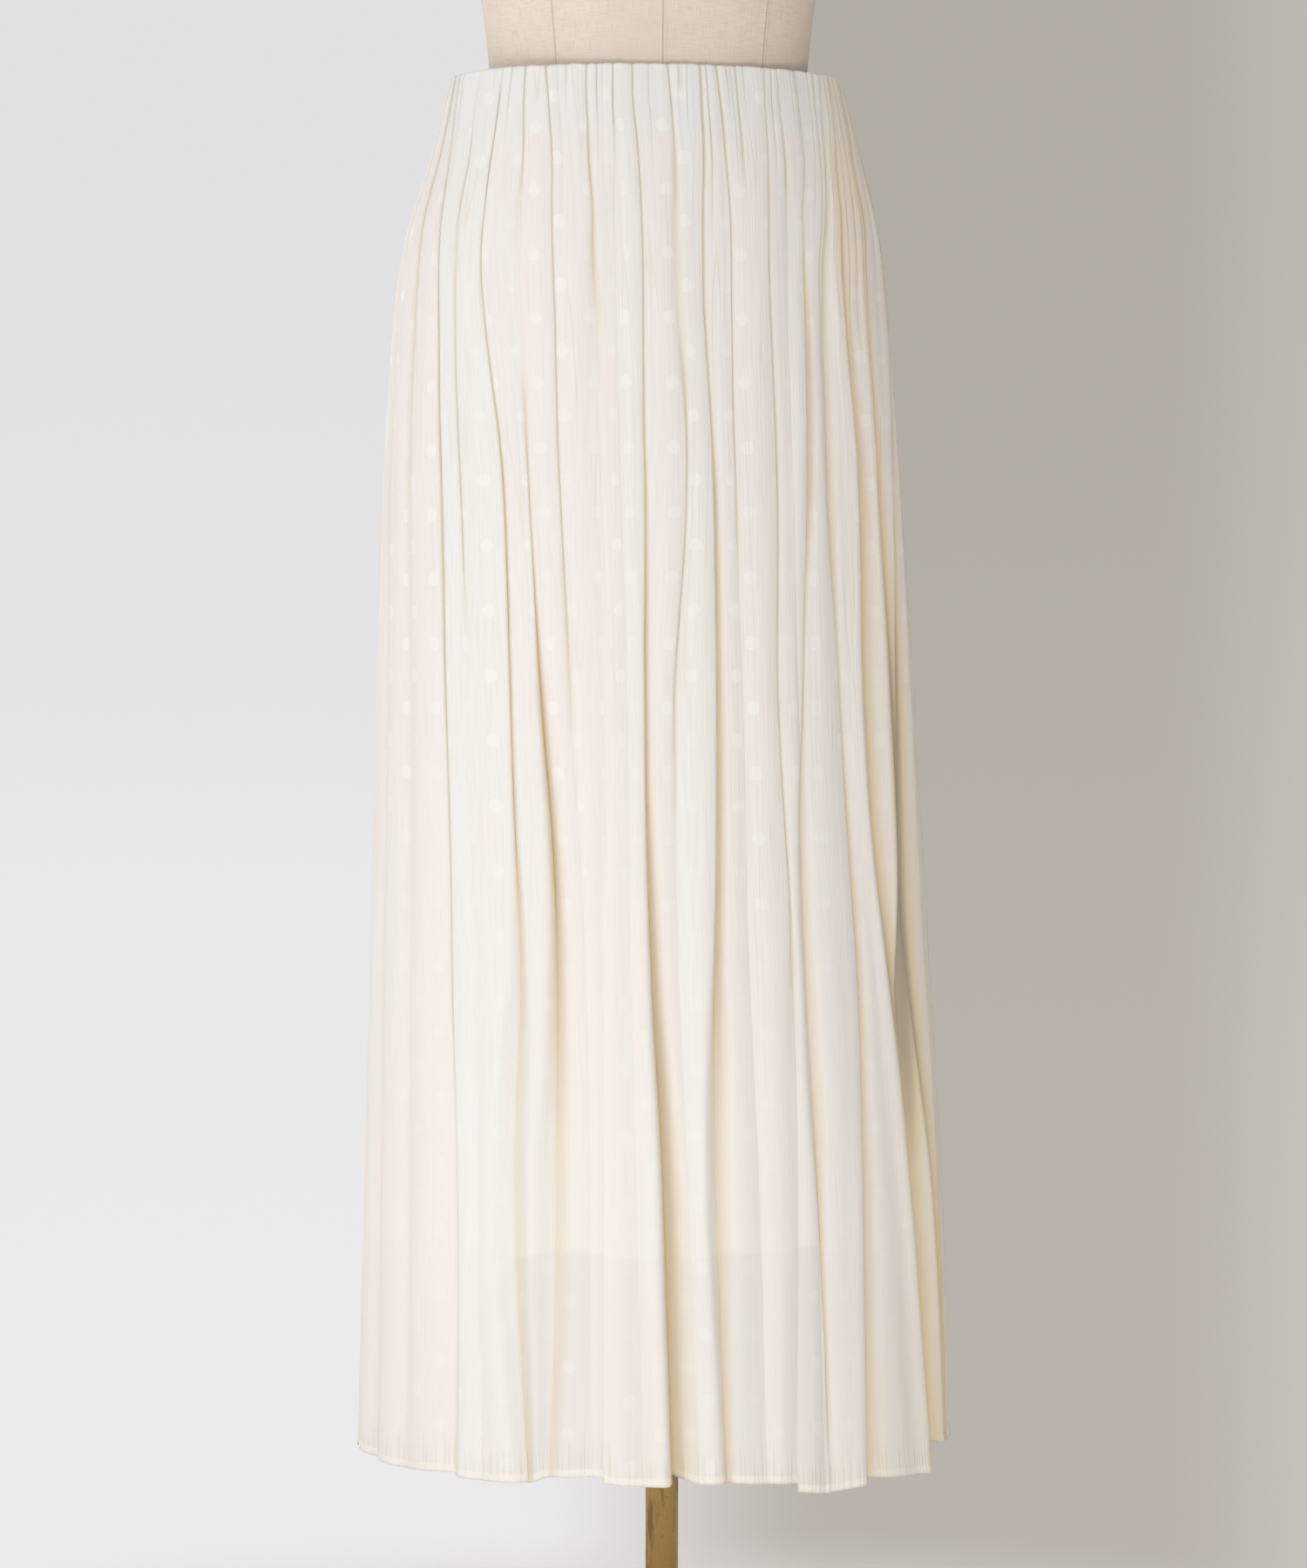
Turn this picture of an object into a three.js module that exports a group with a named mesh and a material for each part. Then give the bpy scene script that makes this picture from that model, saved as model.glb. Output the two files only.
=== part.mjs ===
import * as THREE from 'three';

// A gathered pull-on maxi skirt with its lining, worn by a limbless linen dress form on a pole.
// Millimetres, +Z up, origin on the floor under the pole, the front of the skirt towards -Y.

// Heights above the floor
const RIM_Z = 1050;
const FACING_LOW_Z = 1007;
const HEM_Z = 180;
const LINING_HEM_Z = 318;

// Cloth walls and the clearance between pieces that meet
const SKIRT_WALL = 1.4;
const FACING_WALL = 1.2;
const LINING_WALL = 1.1;
const GAP = 0.3;

// Sections of the skirt, from the rim down: half width, half depth, and how far the middle lies
// to the right of the pole and behind it
const SKIRT_SECTIONS = [
  { z: 1050, width: 124, depth: 88.2, right: -10, back: 0 },
  { z: 1000, width: 137, depth: 100, right: -9.5, back: 2 },
  { z: 950, width: 151, depth: 112, right: -11, back: 5 },
  { z: 900, width: 157.5, depth: 120, right: -12, back: 7 },
  { z: 800, width: 164.5, depth: 130, right: -12, back: 8 },
  { z: 650, width: 170.5, depth: 140, right: -9.5, back: 7 },
  { z: 500, width: 176.5, depth: 148, right: -7.5, back: 6 },
  { z: 350, width: 182.5, depth: 156, right: -5, back: 5 },
  { z: 180, width: 187, depth: 163, right: -4.5, back: 4 },
];

// Heights of the rim, hip, seat, knee and hem, at which the tables give a fold's place and depth
const FOLD_HEIGHTS = [1050, 930, 800, 500, 180];

// Folds of the front from the left seam to the right seam. Places are degrees round the skirt from
// the middle of the front and depths are millimetres, at each of the heights. The hem hangs lower by
// lip at the fold's left edge and by drop at its right. A seam is a row with no depth.
const FRONT_FOLDS = [
  { places: [-90, -90, -90, -90, -90], depths: [0, 0, 0, 0, 0], lip: -5, drop: -5 },
  { places: [-86, -82, -79, -77, -75], depths: [1, 1, 1.5, 2, 3], lip: -1.6, drop: -1.6 },
  { places: [-81, -71, -67, -63, -61], depths: [1.5, 2, 2, 1, 2], lip: 0, drop: 0 },
  { places: [-76, -61, -55, -49, -46], depths: [1.5, 5, 9, 6, 8], lip: -2, drop: 0.5 },
  { places: [-62, -54.5, -48.5, -43, -40], depths: [1.5, 3, 3, 1, 1], lip: 1.5, drop: 1.5 },
  { places: [-51, -46, -37.5, -32.5, -30], depths: [2, 4, 6, 5, 6], lip: 1, drop: 1.5 },
  { places: [-42, -36, -30.5, -24.5, -25.5], depths: [2, 2, 3.5, 5, 4], lip: -3, drop: -3 },
  { places: [-34.5, -26, -23.5, -18, -17.5], depths: [2.5, 5, 4, 1, 4], lip: -4.3, drop: -4.3 },
  { places: [-22.5, -16, -14, -14.5, -15], depths: [2, 1.5, 0.5, 0.5, 1], lip: -3.6, drop: -0.2 },
  { places: [-14, -11, -9.5, -9, -7.5], depths: [1.5, 0.5, 0, 0, 0], lip: 1.5, drop: 1.5 },
  { places: [-8.5, -5, -4.5, -5, -2], depths: [2, 5, 7, 6, 10], lip: 1.2, drop: -4.6 },
  { places: [1.5, 3, 4.5, 0.5, 3], depths: [2, 1.5, 3, 1, 2], lip: 0.5, drop: 0.5 },
  { places: [11, 9.5, 10, 8, 8], depths: [2, 4, 6, 7, 6], lip: 0.5, drop: 0 },
  { places: [16.5, 16, 16, 15, 16], depths: [1.5, 2.5, 2.5, 0.5, 1], lip: 1.6, drop: 1.6 },
  { places: [31, 26, 25, 22, 22.2], depths: [2.5, 4, 4, 2.5, 2], lip: 2.6, drop: 7.9 },
  { places: [37, 31, 29, 25, 26.5], depths: [2, 0.5, 0, 0, 0], lip: 10, drop: 10 },
  { places: [45, 37, 34, 28.5, 30], depths: [2.5, 5, 6, 5, 6], lip: 9.8, drop: 9.8 },
  { places: [53, 44, 41, 40, 39.5], depths: [1.5, 1, 4, 7, 8], lip: 7.1, drop: 4.3 },
  { places: [61.5, 50, 50, 51, 58], depths: [2, 6, 6, 5, 7], lip: 7.5, drop: -8.9 },
  { places: [70, 62, 60, 57, 65], depths: [2, 3, 3, 2, 4], lip: -9.3, drop: -9.3 },
  { places: [77, 75, 70, 64, 72], depths: [1.5, 2, 4, 4, 4], lip: -6.6, drop: -6.6 },
  { places: [84, 83, 79, 74, 80], depths: [1.5, 2, 3, 3, 4], lip: -5.6, drop: -5.6 },
  { places: [90, 90, 90, 90, 90], depths: [0, 0, 0, 0, 0], lip: -5, drop: -5 },
];

// Folds of the back: their number, how far their places wander, in degrees, and their mean depths
const BACK_FOLDS = 20;
const BACK_WANDER = [1.2, 1.6, 1.8, 2.2, 2.6];
const BACK_DEPTH = [1.7, 3.2, 4.2, 4.2, 5.2];

// A fold's section: how far its steep left side and its slow right side reach, how high the crest
// stands beside it for each millimetre of depth, and the swell of a panel between two folds
const STEEP_REACH = 5;
const SLOW_REACH = 11;
const CREST_PLACE = 9;
const CREST_REACH = 6;
const CREST_SHARE = 0.3;
const SWELL = [0.3, 1.4, 2, 2.6, 3.2];
const SWELL_FULL_WIDTH = 34;

// Fine gathers under the rim: height of the wave and the levels between which it dies out
const GATHER_WAVE = 0.8;
const GATHER_FULL_Z = 1034;
const GATHER_END_Z = 968;

// Grid of the skirt's walls: columns inside each panel, as shares of its width, and row levels as
// shares of the drop from rim to hem
const PANEL_COLUMNS = [0, 0.2, 0.5, 0.82];
const SKIRT_ROWS = [0, 0.018, 0.05, 0.09, 0.14, 0.21, 0.3, 0.42, 0.56, 0.71, 0.86, 1];

// The facing's wall stands this far inside the skirt's section at its two edges, clear of the folds
const FACING_INSET_TOP = 5.56;
const FACING_INSET_LOW = 7.6;
const FACING_COLUMNS = 72;
const FACING_ROWS = 3;

// The lining's inset from the skirt's section and the depth of its slack waves
const LINING_INSETS = [
  { z: 1006, inset: 7.2 },
  { z: 930, inset: 8.8 },
  { z: 800, inset: 12.5 },
  { z: 500, inset: 13 },
  { z: 318, inset: 14 },
];
const LINING_WAVES = 9;
const LINING_WAVE = 1.6;
const LINING_COLUMNS = 36;
const LINING_ROWS = 7;

// Sections of the torso, from the neck down; square is the exponent that fills out the corners
const TORSO_SECTIONS = [
  { z: 1478, width: 52, depth: 53, right: -9, back: 6, square: 2 },
  { z: 1442, width: 54, depth: 56, right: -9, back: 6, square: 2 },
  { z: 1420, width: 72, depth: 62, right: -9, back: 7, square: 2.05 },
  { z: 1402, width: 108, depth: 69, right: -9, back: 8, square: 2.2 },
  { z: 1384, width: 144, depth: 76, right: -9, back: 8, square: 2.4 },
  { z: 1360, width: 165, depth: 85, right: -9, back: 7, square: 2.6 },
  { z: 1325, width: 170, depth: 94, right: -9, back: 4, square: 2.6 },
  { z: 1285, width: 165, depth: 104, right: -9, back: 0, square: 2.5 },
  { z: 1245, width: 156, depth: 110, right: -9, back: -4, square: 2.35 },
  { z: 1205, width: 141, depth: 106, right: -9, back: -3, square: 2.2 },
  { z: 1160, width: 122, depth: 95, right: -8.5, back: -1, square: 2.1 },
  { z: 1110, width: 108.5, depth: 86, right: -8.5, back: 0, square: 2.05 },
  { z: 1060, width: 101.8, depth: 81.4, right: -8.5, back: 0, square: 2 },
  { z: 1030, width: 101, depth: 81, right: -8.5, back: 0, square: 2 },
  { z: 1000, width: 105, depth: 84, right: -8.5, back: 2, square: 2 },
  { z: 960, width: 120, depth: 93, right: -9, back: 5, square: 2 },
  { z: 910, width: 138, depth: 103, right: -10, back: 7, square: 2 },
  { z: 860, width: 146, depth: 108, right: -11, back: 8, square: 2.05 },
  { z: 815, width: 145, depth: 107, right: -11, back: 8, square: 2.1 },
  { z: 795, width: 139, depth: 102, right: -10, back: 7, square: 2.1 },
  { z: 788, width: 130, depth: 95, right: -10, back: 7, square: 2.1 },
];
const TORSO_COLUMNS = 44;

// Neck plate, flange, pole and base
const NECK_PLATE_THICK = 7;
const NECK_PLATE_OVERHANG = 3;
const NECK_PLATE_COLUMNS = 36;
const POLE_RADIUS = 10.4;
const POLE_SIDES = 24;
const FLANGE_RADIUS = 34;
const FLANGE_COLLAR_RADIUS = 16;
const FLANGE_PLATE = 4;
const FLANGE_HEIGHT = 22;
const BASE_RADIUS = 170;
const BASE_EDGE = 9;
const BASE_CROWN = 14;
const BASE_CHAMFER = 2.5;
const HUB_RADIUS = 19;
const HUB_TOP = 44;
const SOCKET_FLOOR = 14;
const ROUND_SIDES = 48;

// Colours and finishes
const CLOTH = { color: 0xefe8dd, roughness: 0.62, metalness: 0 };
const CASING = { color: 0xece8df, roughness: 0.65, metalness: 0 };
const LINING = { color: 0xf2eee6, roughness: 0.5, metalness: 0 };
const LINEN = { color: 0xdccab7, roughness: 0.9, metalness: 0 };
const BRASS = { color: 0x9c7d4c, roughness: 0.42, metalness: 1 };
const BASE_METAL = { color: 0x8a6f45, roughness: 0.5, metalness: 1 };

const DEGREE = Math.PI / 180;
const FULL_TURN = 360;

// Smooth curve through a table's column, by height: cubic pieces whose slopes come from the
// neighbouring rows
function smooth(heights, values, z) {
  const last = heights.length - 1;
  if (z >= heights[0]) return values[0];
  if (z <= heights[last]) return values[last];
  let k = 0;
  while (z < heights[k + 1]) k++;
  const slope = (j) => {
    const low = Math.max(j - 1, 0);
    const high = Math.min(j + 1, last);
    return (values[high] - values[low]) / (heights[high] - heights[low]);
  };
  const step = heights[k + 1] - heights[k];
  const t = (z - heights[k]) / step;
  const stay = (1 + 2 * t) * (1 - t) * (1 - t);
  const leave = t * (1 - t) * (1 - t) * step;
  const arrive = t * t * (t - 1) * step;
  return stay * values[k] + (1 - stay) * values[k + 1] + leave * slope(k) + arrive * slope(k + 1);
}

function column(rows, name, z) {
  return smooth(rows.map((row) => row.z), rows.map((row) => row[name]), z);
}

function byHeight(values, z) {
  return smooth(FOLD_HEIGHTS, values, z);
}

// The back's folds lie a steady step apart and wander, each fold with its own phase
function backFolds() {
  const rows = [];
  for (let k = 1; k <= BACK_FOLDS; k++) {
    const even = 90 + (180 * k) / (BACK_FOLDS + 1);
    const places = BACK_WANDER.map((far, level) => even + far * Math.sin(2.4 * k + 0.55 * level));
    const depths = BACK_DEPTH.map((deep, level) => deep * (1 + 0.65 * Math.sin(1.7 * k + 0.8 * level)));
    const drop = 1.5 * Math.sin(2.9 * k);
    rows.push({ places, depths, lip: drop, drop });
  }
  return rows;
}

// All folds round the skirt, and the index at which the back begins
const FOLDS = [...FRONT_FOLDS, ...backFolds()];
const BACK_START = FRONT_FOLDS.length - 1;

function fold(index) {
  const turns = Math.floor(index / FOLDS.length);
  return { row: FOLDS[index - turns * FOLDS.length], turn: turns * FULL_TURN };
}

function sectionPoint(rows, z, degrees, inset, square = 2) {
  const width = column(rows, 'width', z) - inset;
  const depth = column(rows, 'depth', z) - inset;
  const s = Math.sin(degrees * DEGREE);
  const c = Math.cos(degrees * DEGREE);
  const fill = (v) => Math.sign(v) * Math.pow(Math.abs(v), 2 / square);
  const x = column(rows, 'right', z) + width * fill(s);
  const y = column(rows, 'back', z) - depth * fill(c);
  return { x, y, outX: s / width, outY: -c / depth, width, depth };
}

const bell = (distance, reach) => Math.exp(-((distance / reach) ** 2));

// Height of the cloth over the section, at a share of the panel between two folds
function cloth(left, right, share, width, z) {
  const fromLeft = share * width;
  const fromRight = width - fromLeft;
  const full = Math.min(1, width / SWELL_FULL_WIDTH);
  const swell = byHeight(SWELL, z) * Math.sin(Math.PI * share) * full;
  const leftDeep = Math.max(0, byHeight(left.depths, z));
  const rightDeep = Math.max(0, byHeight(right.depths, z));
  const crest = CREST_SHARE * rightDeep * bell(fromRight - CREST_PLACE, CREST_REACH);
  const groove = leftDeep * bell(fromLeft, SLOW_REACH) + rightDeep * bell(fromRight, STEEP_REACH);
  return swell + crest - groove;
}

// One point of the skirt's outer face
function skirtPoint(index, columnStep, fall) {
  const share = PANEL_COLUMNS[columnStep];
  const left = fold(index);
  const right = fold(index + 1);
  const drop = left.row.drop + (right.row.lip - left.row.drop) * share;
  const z = RIM_Z + (HEM_Z - drop - RIM_Z) * fall;
  const from = byHeight(left.row.places, z) + left.turn;
  const to = byHeight(right.row.places, z) + right.turn;
  const degrees = from + (to - from) * share;
  const base = sectionPoint(SKIRT_SECTIONS, z, degrees, 0);
  const s = Math.sin(degrees * DEGREE);
  const c = Math.cos(degrees * DEGREE);
  const width = (to - from) * DEGREE * Math.hypot(base.width * c, base.depth * s);
  const fade = THREE.MathUtils.smoothstep(z, GATHER_END_Z, GATHER_FULL_Z);
  const gather = GATHER_WAVE * fade * (columnStep % 2 === 0 ? -1 : 1);
  const height = cloth(left.row, right.row, share, width, z) + gather;
  const out = Math.hypot(base.outX, base.outY);
  const x = base.x + (base.outX / out) * height;
  const y = base.y + (base.outY / out) * height;
  return new THREE.Vector3(x, y, z);
}

// The same row of points moved in by the wall, each along the bisector of its two neighbours; the
// ends of an open row lie on side seams and move straight across
function movedIn(row, wall, ring) {
  const last = row.length - 1;
  return row.map((point, i) => {
    const before = row[i > 0 ? i - 1 : ring ? last : 0];
    const after = row[i < last ? i + 1 : ring ? 0 : last];
    const sides = [[before, point], [point, after]].filter(([p, q]) => p !== q);
    const normals = sides.map(([p, q]) => new THREE.Vector2(p.y - q.y, q.x - p.x).normalize());
    const mean = normals.reduce((sum, n) => sum.add(n), new THREE.Vector2()).normalize();
    const stretch = Math.min(1.5, 1 / mean.dot(normals[normals.length - 1]));
    if (sides.length === 1) return new THREE.Vector3(point.x + Math.sign(mean.x) * wall, point.y, point.z);
    const x = point.x + mean.x * wall * stretch;
    const y = point.y + mean.y * wall * stretch;
    return new THREE.Vector3(x, y, point.z);
  });
}

// A closed wall between an outer and an inner grid, rows from the top down, columns from the left
// round the front; a ring has no end faces
function wallGeometry(outer, inner, ring) {
  const rows = outer.length;
  const columns = outer[0].length;
  const at = (side, j, i) => (side * rows + j) * columns + (i % columns);
  const faces = [];
  const quad = (a, b, c, d) => faces.push(a, b, c, a, c, d);
  const low = rows - 1;
  for (let i = 0; i < (ring ? columns : columns - 1); i++) {
    for (let j = 0; j < low; j++) {
      quad(at(0, j, i), at(0, j + 1, i), at(0, j + 1, i + 1), at(0, j, i + 1));
      quad(at(1, j, i), at(1, j, i + 1), at(1, j + 1, i + 1), at(1, j + 1, i));
    }
    quad(at(0, 0, i), at(0, 0, i + 1), at(1, 0, i + 1), at(1, 0, i));
    quad(at(0, low, i), at(1, low, i), at(1, low, i + 1), at(0, low, i + 1));
  }
  const end = columns - 1;
  for (let j = 0; j < (ring ? 0 : low); j++) {
    quad(at(0, j, 0), at(1, j, 0), at(1, j + 1, 0), at(0, j + 1, 0));
    quad(at(0, j, end), at(0, j + 1, end), at(1, j + 1, end), at(1, j, end));
  }
  return indexed([...outer, ...inner].flat(), faces);
}

// A solid through closed rows, from the top down, with flat ends
function loftGeometry(rows) {
  const columns = rows[0].length;
  const points = rows.flat();
  const at = (j, i) => j * columns + (i % columns);
  const faces = [];
  for (let j = 0; j + 1 < rows.length; j++) {
    for (let i = 0; i < columns; i++) {
      faces.push(at(j, i), at(j + 1, i), at(j + 1, i + 1), at(j, i), at(j + 1, i + 1), at(j, i + 1));
    }
  }
  const low = rows.length - 1;
  const top = points.push(middle(rows[0])) - 1;
  const bottom = points.push(middle(rows[low])) - 1;
  for (let i = 0; i < columns; i++) {
    faces.push(top, at(0, i), at(0, i + 1));
    faces.push(bottom, at(low, i + 1), at(low, i));
  }
  return indexed(points, faces);
}

function middle(row) {
  return row.reduce((sum, p) => sum.add(p), new THREE.Vector3()).divideScalar(row.length);
}

function indexed(points, faces) {
  const geometry = new THREE.BufferGeometry();
  const coordinates = points.flatMap((p) => [p.x, p.y, p.z]);
  geometry.setAttribute('position', new THREE.Float32BufferAttribute(coordinates, 3));
  geometry.setIndex(faces);
  geometry.computeVertexNormals();
  return geometry;
}

// Both ends of a row drawn back from the side seams by half the gap
function trimmed(row) {
  const last = row.length - 1;
  const drawn = (end, next) => {
    return new THREE.Vector3(end.x, end.y + (Math.sign(next.y - end.y) * GAP) / 2, end.z);
  };
  return [drawn(row[0], row[1]), ...row.slice(1, last), drawn(row[last], row[last - 1])];
}

// A skirt panel from one side seam to the other
function skirtPanel(first, end) {
  const outer = SKIRT_ROWS.map((fall) => {
    const row = [];
    for (let index = first; index < end; index++) {
      PANEL_COLUMNS.forEach((_, step) => row.push(skirtPoint(index, step, fall)));
    }
    row.push(skirtPoint(end, 0, fall));
    return trimmed(row);
  });
  return wallGeometry(outer, outer.map((row) => movedIn(row, SKIRT_WALL, false)), false);
}

// The turned-in casing at the waist, one band all the way round
function waistFacing() {
  const outer = [];
  for (let j = 0; j < FACING_ROWS; j++) {
    const z = THREE.MathUtils.lerp(RIM_Z - 1, FACING_LOW_Z, j / (FACING_ROWS - 1));
    const inset = THREE.MathUtils.lerp(FACING_INSET_TOP, FACING_INSET_LOW, j / (FACING_ROWS - 1));
    const row = [];
    for (let i = 0; i < FACING_COLUMNS; i++) {
      const p = sectionPoint(SKIRT_SECTIONS, z, (FULL_TURN * i) / FACING_COLUMNS - 90, inset);
      row.push(new THREE.Vector3(p.x, p.y, z));
    }
    outer.push(row);
  }
  return wallGeometry(outer, outer.map((row) => movedIn(row, FACING_WALL, true)), true);
}

// A lining panel hangs from the casing's lower edge in slack waves that grow towards its hem
function liningPanel(startDegrees) {
  const top = FACING_LOW_Z - GAP;
  const outer = [];
  for (let j = 0; j < LINING_ROWS; j++) {
    const z = THREE.MathUtils.lerp(top, LINING_HEM_Z, j / (LINING_ROWS - 1));
    const row = [];
    for (let i = 0; i <= LINING_COLUMNS; i++) {
      const degrees = startDegrees + (180 * i) / LINING_COLUMNS;
      const fallen = (top - z) / (top - LINING_HEM_Z);
      const slack = LINING_WAVE * (1 - Math.cos(2 * LINING_WAVES * degrees * DEGREE)) * fallen;
      const p = sectionPoint(SKIRT_SECTIONS, z, degrees, column(LINING_INSETS, 'inset', z) + slack);
      row.push(new THREE.Vector3(p.x, p.y, z));
    }
    outer.push(trimmed(row));
  }
  return wallGeometry(outer, outer.map((row) => movedIn(row, LINING_WALL, false)), false);
}

function torsoRow(section, columns, overhang = 0) {
  const row = [];
  for (let i = 0; i < columns; i++) {
    const degrees = (FULL_TURN * i) / columns - 90;
    const p = sectionPoint([section], section.z, degrees, -overhang, section.square);
    row.push(new THREE.Vector3(p.x, p.y, section.z));
  }
  return row;
}

function torso() {
  return loftGeometry(TORSO_SECTIONS.map((section) => torsoRow(section, TORSO_COLUMNS)));
}

// The neck plate overhangs the neck a little, with its edge rounded off
function neckPlate() {
  const neck = TORSO_SECTIONS[0];
  const bottom = neck.z + GAP;
  const rings = [
    { rise: NECK_PLATE_THICK, overhang: NECK_PLATE_OVERHANG - 3 },
    { rise: NECK_PLATE_THICK - 1.5, overhang: NECK_PLATE_OVERHANG - 0.8 },
    { rise: NECK_PLATE_THICK - 3.5, overhang: NECK_PLATE_OVERHANG },
    { rise: 1.5, overhang: NECK_PLATE_OVERHANG },
    { rise: 0, overhang: NECK_PLATE_OVERHANG - 1.5 },
  ];
  const ring = ({ rise, overhang }) => {
    return torsoRow({ ...neck, z: bottom + rise }, NECK_PLATE_COLUMNS, overhang);
  };
  return loftGeometry(rings.map(ring));
}

// A body turned about the vertical, from its profile of radius and height
function turned(profile, sides) {
  const points = profile.map(([radius, z]) => new THREE.Vector2(radius, z));
  const geometry = new THREE.LatheGeometry(points, sides);
  geometry.rotateX(Math.PI / 2);
  return geometry;
}

// The flange under the torso: a collar round the pole below a plate
function flange() {
  const top = TORSO_SECTIONS[TORSO_SECTIONS.length - 1].z - GAP;
  const bore = POLE_RADIUS + GAP;
  return turned([
    [bore, top - FLANGE_HEIGHT],
    [FLANGE_COLLAR_RADIUS, top - FLANGE_HEIGHT],
    [FLANGE_COLLAR_RADIUS, top - FLANGE_PLATE],
    [FLANGE_RADIUS, top - FLANGE_PLATE],
    [FLANGE_RADIUS, top],
    [bore, top],
    [bore, top - FLANGE_HEIGHT],
  ], ROUND_SIDES);
}

function pole() {
  const top = TORSO_SECTIONS[TORSO_SECTIONS.length - 1].z - GAP;
  const bottom = SOCKET_FLOOR + GAP;
  const geometry = new THREE.CylinderGeometry(POLE_RADIUS, POLE_RADIUS, top - bottom, POLE_SIDES);
  geometry.rotateX(Math.PI / 2);
  geometry.translate(0, 0, (top + bottom) / 2);
  return geometry;
}

// The base: a shallow disc that rises to a hub with the pole's socket
function base() {
  const bore = POLE_RADIUS + GAP;
  return turned([
    [0, 0],
    [BASE_RADIUS - BASE_CHAMFER, 0],
    [BASE_RADIUS, BASE_CHAMFER],
    [BASE_RADIUS, BASE_EDGE - BASE_CHAMFER],
    [BASE_RADIUS - BASE_CHAMFER, BASE_EDGE],
    [HUB_RADIUS + 9, BASE_CROWN],
    [HUB_RADIUS, BASE_CROWN + 6],
    [HUB_RADIUS, HUB_TOP - 3],
    [HUB_RADIUS - 2, HUB_TOP],
    [bore, HUB_TOP],
    [bore, SOCKET_FLOOR],
    [0, SOCKET_FLOOR],
  ], ROUND_SIDES);
}

function addPiece(group, name, geometry, finish) {
  const mesh = new THREE.Mesh(geometry, new THREE.MeshStandardMaterial(finish));
  mesh.name = name;
  group.add(mesh);
}

const group = new THREE.Group();
addPiece(group, 'skirt_front', skirtPanel(0, BACK_START), CLOTH);
addPiece(group, 'skirt_back', skirtPanel(BACK_START, FOLDS.length), CLOTH);
addPiece(group, 'waist_facing', waistFacing(), CASING);
addPiece(group, 'lining_front', liningPanel(-90), LINING);
addPiece(group, 'lining_back', liningPanel(90), LINING);
addPiece(group, 'form_torso', torso(), LINEN);
addPiece(group, 'form_neck_plate', neckPlate(), LINEN);
addPiece(group, 'form_flange', flange(), BRASS);
addPiece(group, 'form_pole', pole(), BRASS);
addPiece(group, 'form_base', base(), BASE_METAL);

export default group;
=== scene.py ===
import math
import bpy
import numpy as np
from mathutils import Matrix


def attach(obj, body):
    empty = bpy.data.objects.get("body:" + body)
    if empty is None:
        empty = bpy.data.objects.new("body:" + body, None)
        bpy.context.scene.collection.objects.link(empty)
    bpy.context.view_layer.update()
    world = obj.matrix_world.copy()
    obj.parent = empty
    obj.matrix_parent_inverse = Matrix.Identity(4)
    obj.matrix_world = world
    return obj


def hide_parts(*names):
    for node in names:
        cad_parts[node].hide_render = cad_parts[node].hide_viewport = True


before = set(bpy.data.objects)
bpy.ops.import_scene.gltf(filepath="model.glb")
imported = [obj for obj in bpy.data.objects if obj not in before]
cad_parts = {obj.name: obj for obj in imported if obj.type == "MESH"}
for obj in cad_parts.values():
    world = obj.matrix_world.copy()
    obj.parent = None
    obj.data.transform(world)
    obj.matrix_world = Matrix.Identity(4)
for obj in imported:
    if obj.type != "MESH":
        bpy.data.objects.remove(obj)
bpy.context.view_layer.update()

# Camera.
# It stands level with the middle of the skirt, a little to the left of its front, far off with a
# long lens, so the rim and the hem only curve slightly.
MM = 0.001
CAMERA_TURN = math.radians(-6.5)
CAMERA_DISTANCE = 3.2
CAMERA_HEIGHT = 0.657
LENS_MM = 115.3
SENSOR_MM = 36.0
POLE_RIGHT_OF_MIDDLE = 0.0053
HORIZON_OVER_MIDDLE = 0.0556

camera_data = bpy.data.cameras.new("camera")
camera_data.lens = LENS_MM
camera_data.sensor_fit = "VERTICAL"
camera_data.sensor_height = SENSOR_MM
camera_data.shift_x = -POLE_RIGHT_OF_MIDDLE
camera_data.shift_y = -HORIZON_OVER_MIDDLE
camera = bpy.data.objects.new("camera", camera_data)
camera.location = (CAMERA_DISTANCE * math.sin(CAMERA_TURN),
                   -CAMERA_DISTANCE * math.cos(CAMERA_TURN), CAMERA_HEIGHT)
camera.rotation_euler = (math.radians(90), 0, CAMERA_TURN)
bpy.context.collection.objects.link(camera)
bpy.context.scene.camera = camera
bpy.context.scene.view_settings.view_transform = "Standard"


# Studio.
# A pale paper backdrop with painted light: lighter on the left, dimmer to the right and a little
# darker towards the top. A big soft light on the left and in front, and a weak warm room on the
# right. The floor fades into the backdrop.
BACKDROP_LEFT = (0.81, 0.805, 0.81, 1)
BACKDROP_RIGHT = (0.471, 0.438, 0.395, 1)
BACKDROP_EDGE = (0.565, 0.535, 0.50, 1)
ROOM_BRIGHT_SIDE = (1.33, 1.32, 1.32, 1)
ROOM_FRONT = (0.6, 0.596, 0.592, 1)
ROOM_DIM_SIDE = (0.215, 0.166, 0.092, 1)
DIM_SIDE = (0.9727, 0.2335, 0)
ROOM_STRENGTH = 1.02
FLOOR_RADIUS = 0.80
FLOOR_SOLID_RADIUS = 0.35
FLOOR_DROP = 0.2 * MM
FLOOR_SIDES = 96
FLOOR_COLOUR = (0.84, 0.83, 0.82, 1)


def add_node(tree, kind, inputs=None, **settings):
    """A shader node of one kind; inputs holds plain values or the sockets that feed it."""
    made = tree.nodes.new("ShaderNode" + kind)
    for name, value in settings.items():
        setattr(made, name, value)
    for name, value in (inputs or {}).items():
        if isinstance(value, bpy.types.NodeSocket):
            tree.links.new(value, made.inputs[name])
        else:
            made.inputs[name].default_value = value
    return made


def sums(tree, operation, first, second=0.0, third=0.0):
    """The result of one Math node."""
    made = add_node(tree, "Math", {0: first, 1: second, 2: third}, operation=operation)
    return made.outputs[0]


def dot(tree, first, second):
    """The dot product of two directions."""
    made = add_node(tree, "VectorMath", {0: first, 1: second}, operation="DOT_PRODUCT")
    return made.outputs["Value"]


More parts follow.
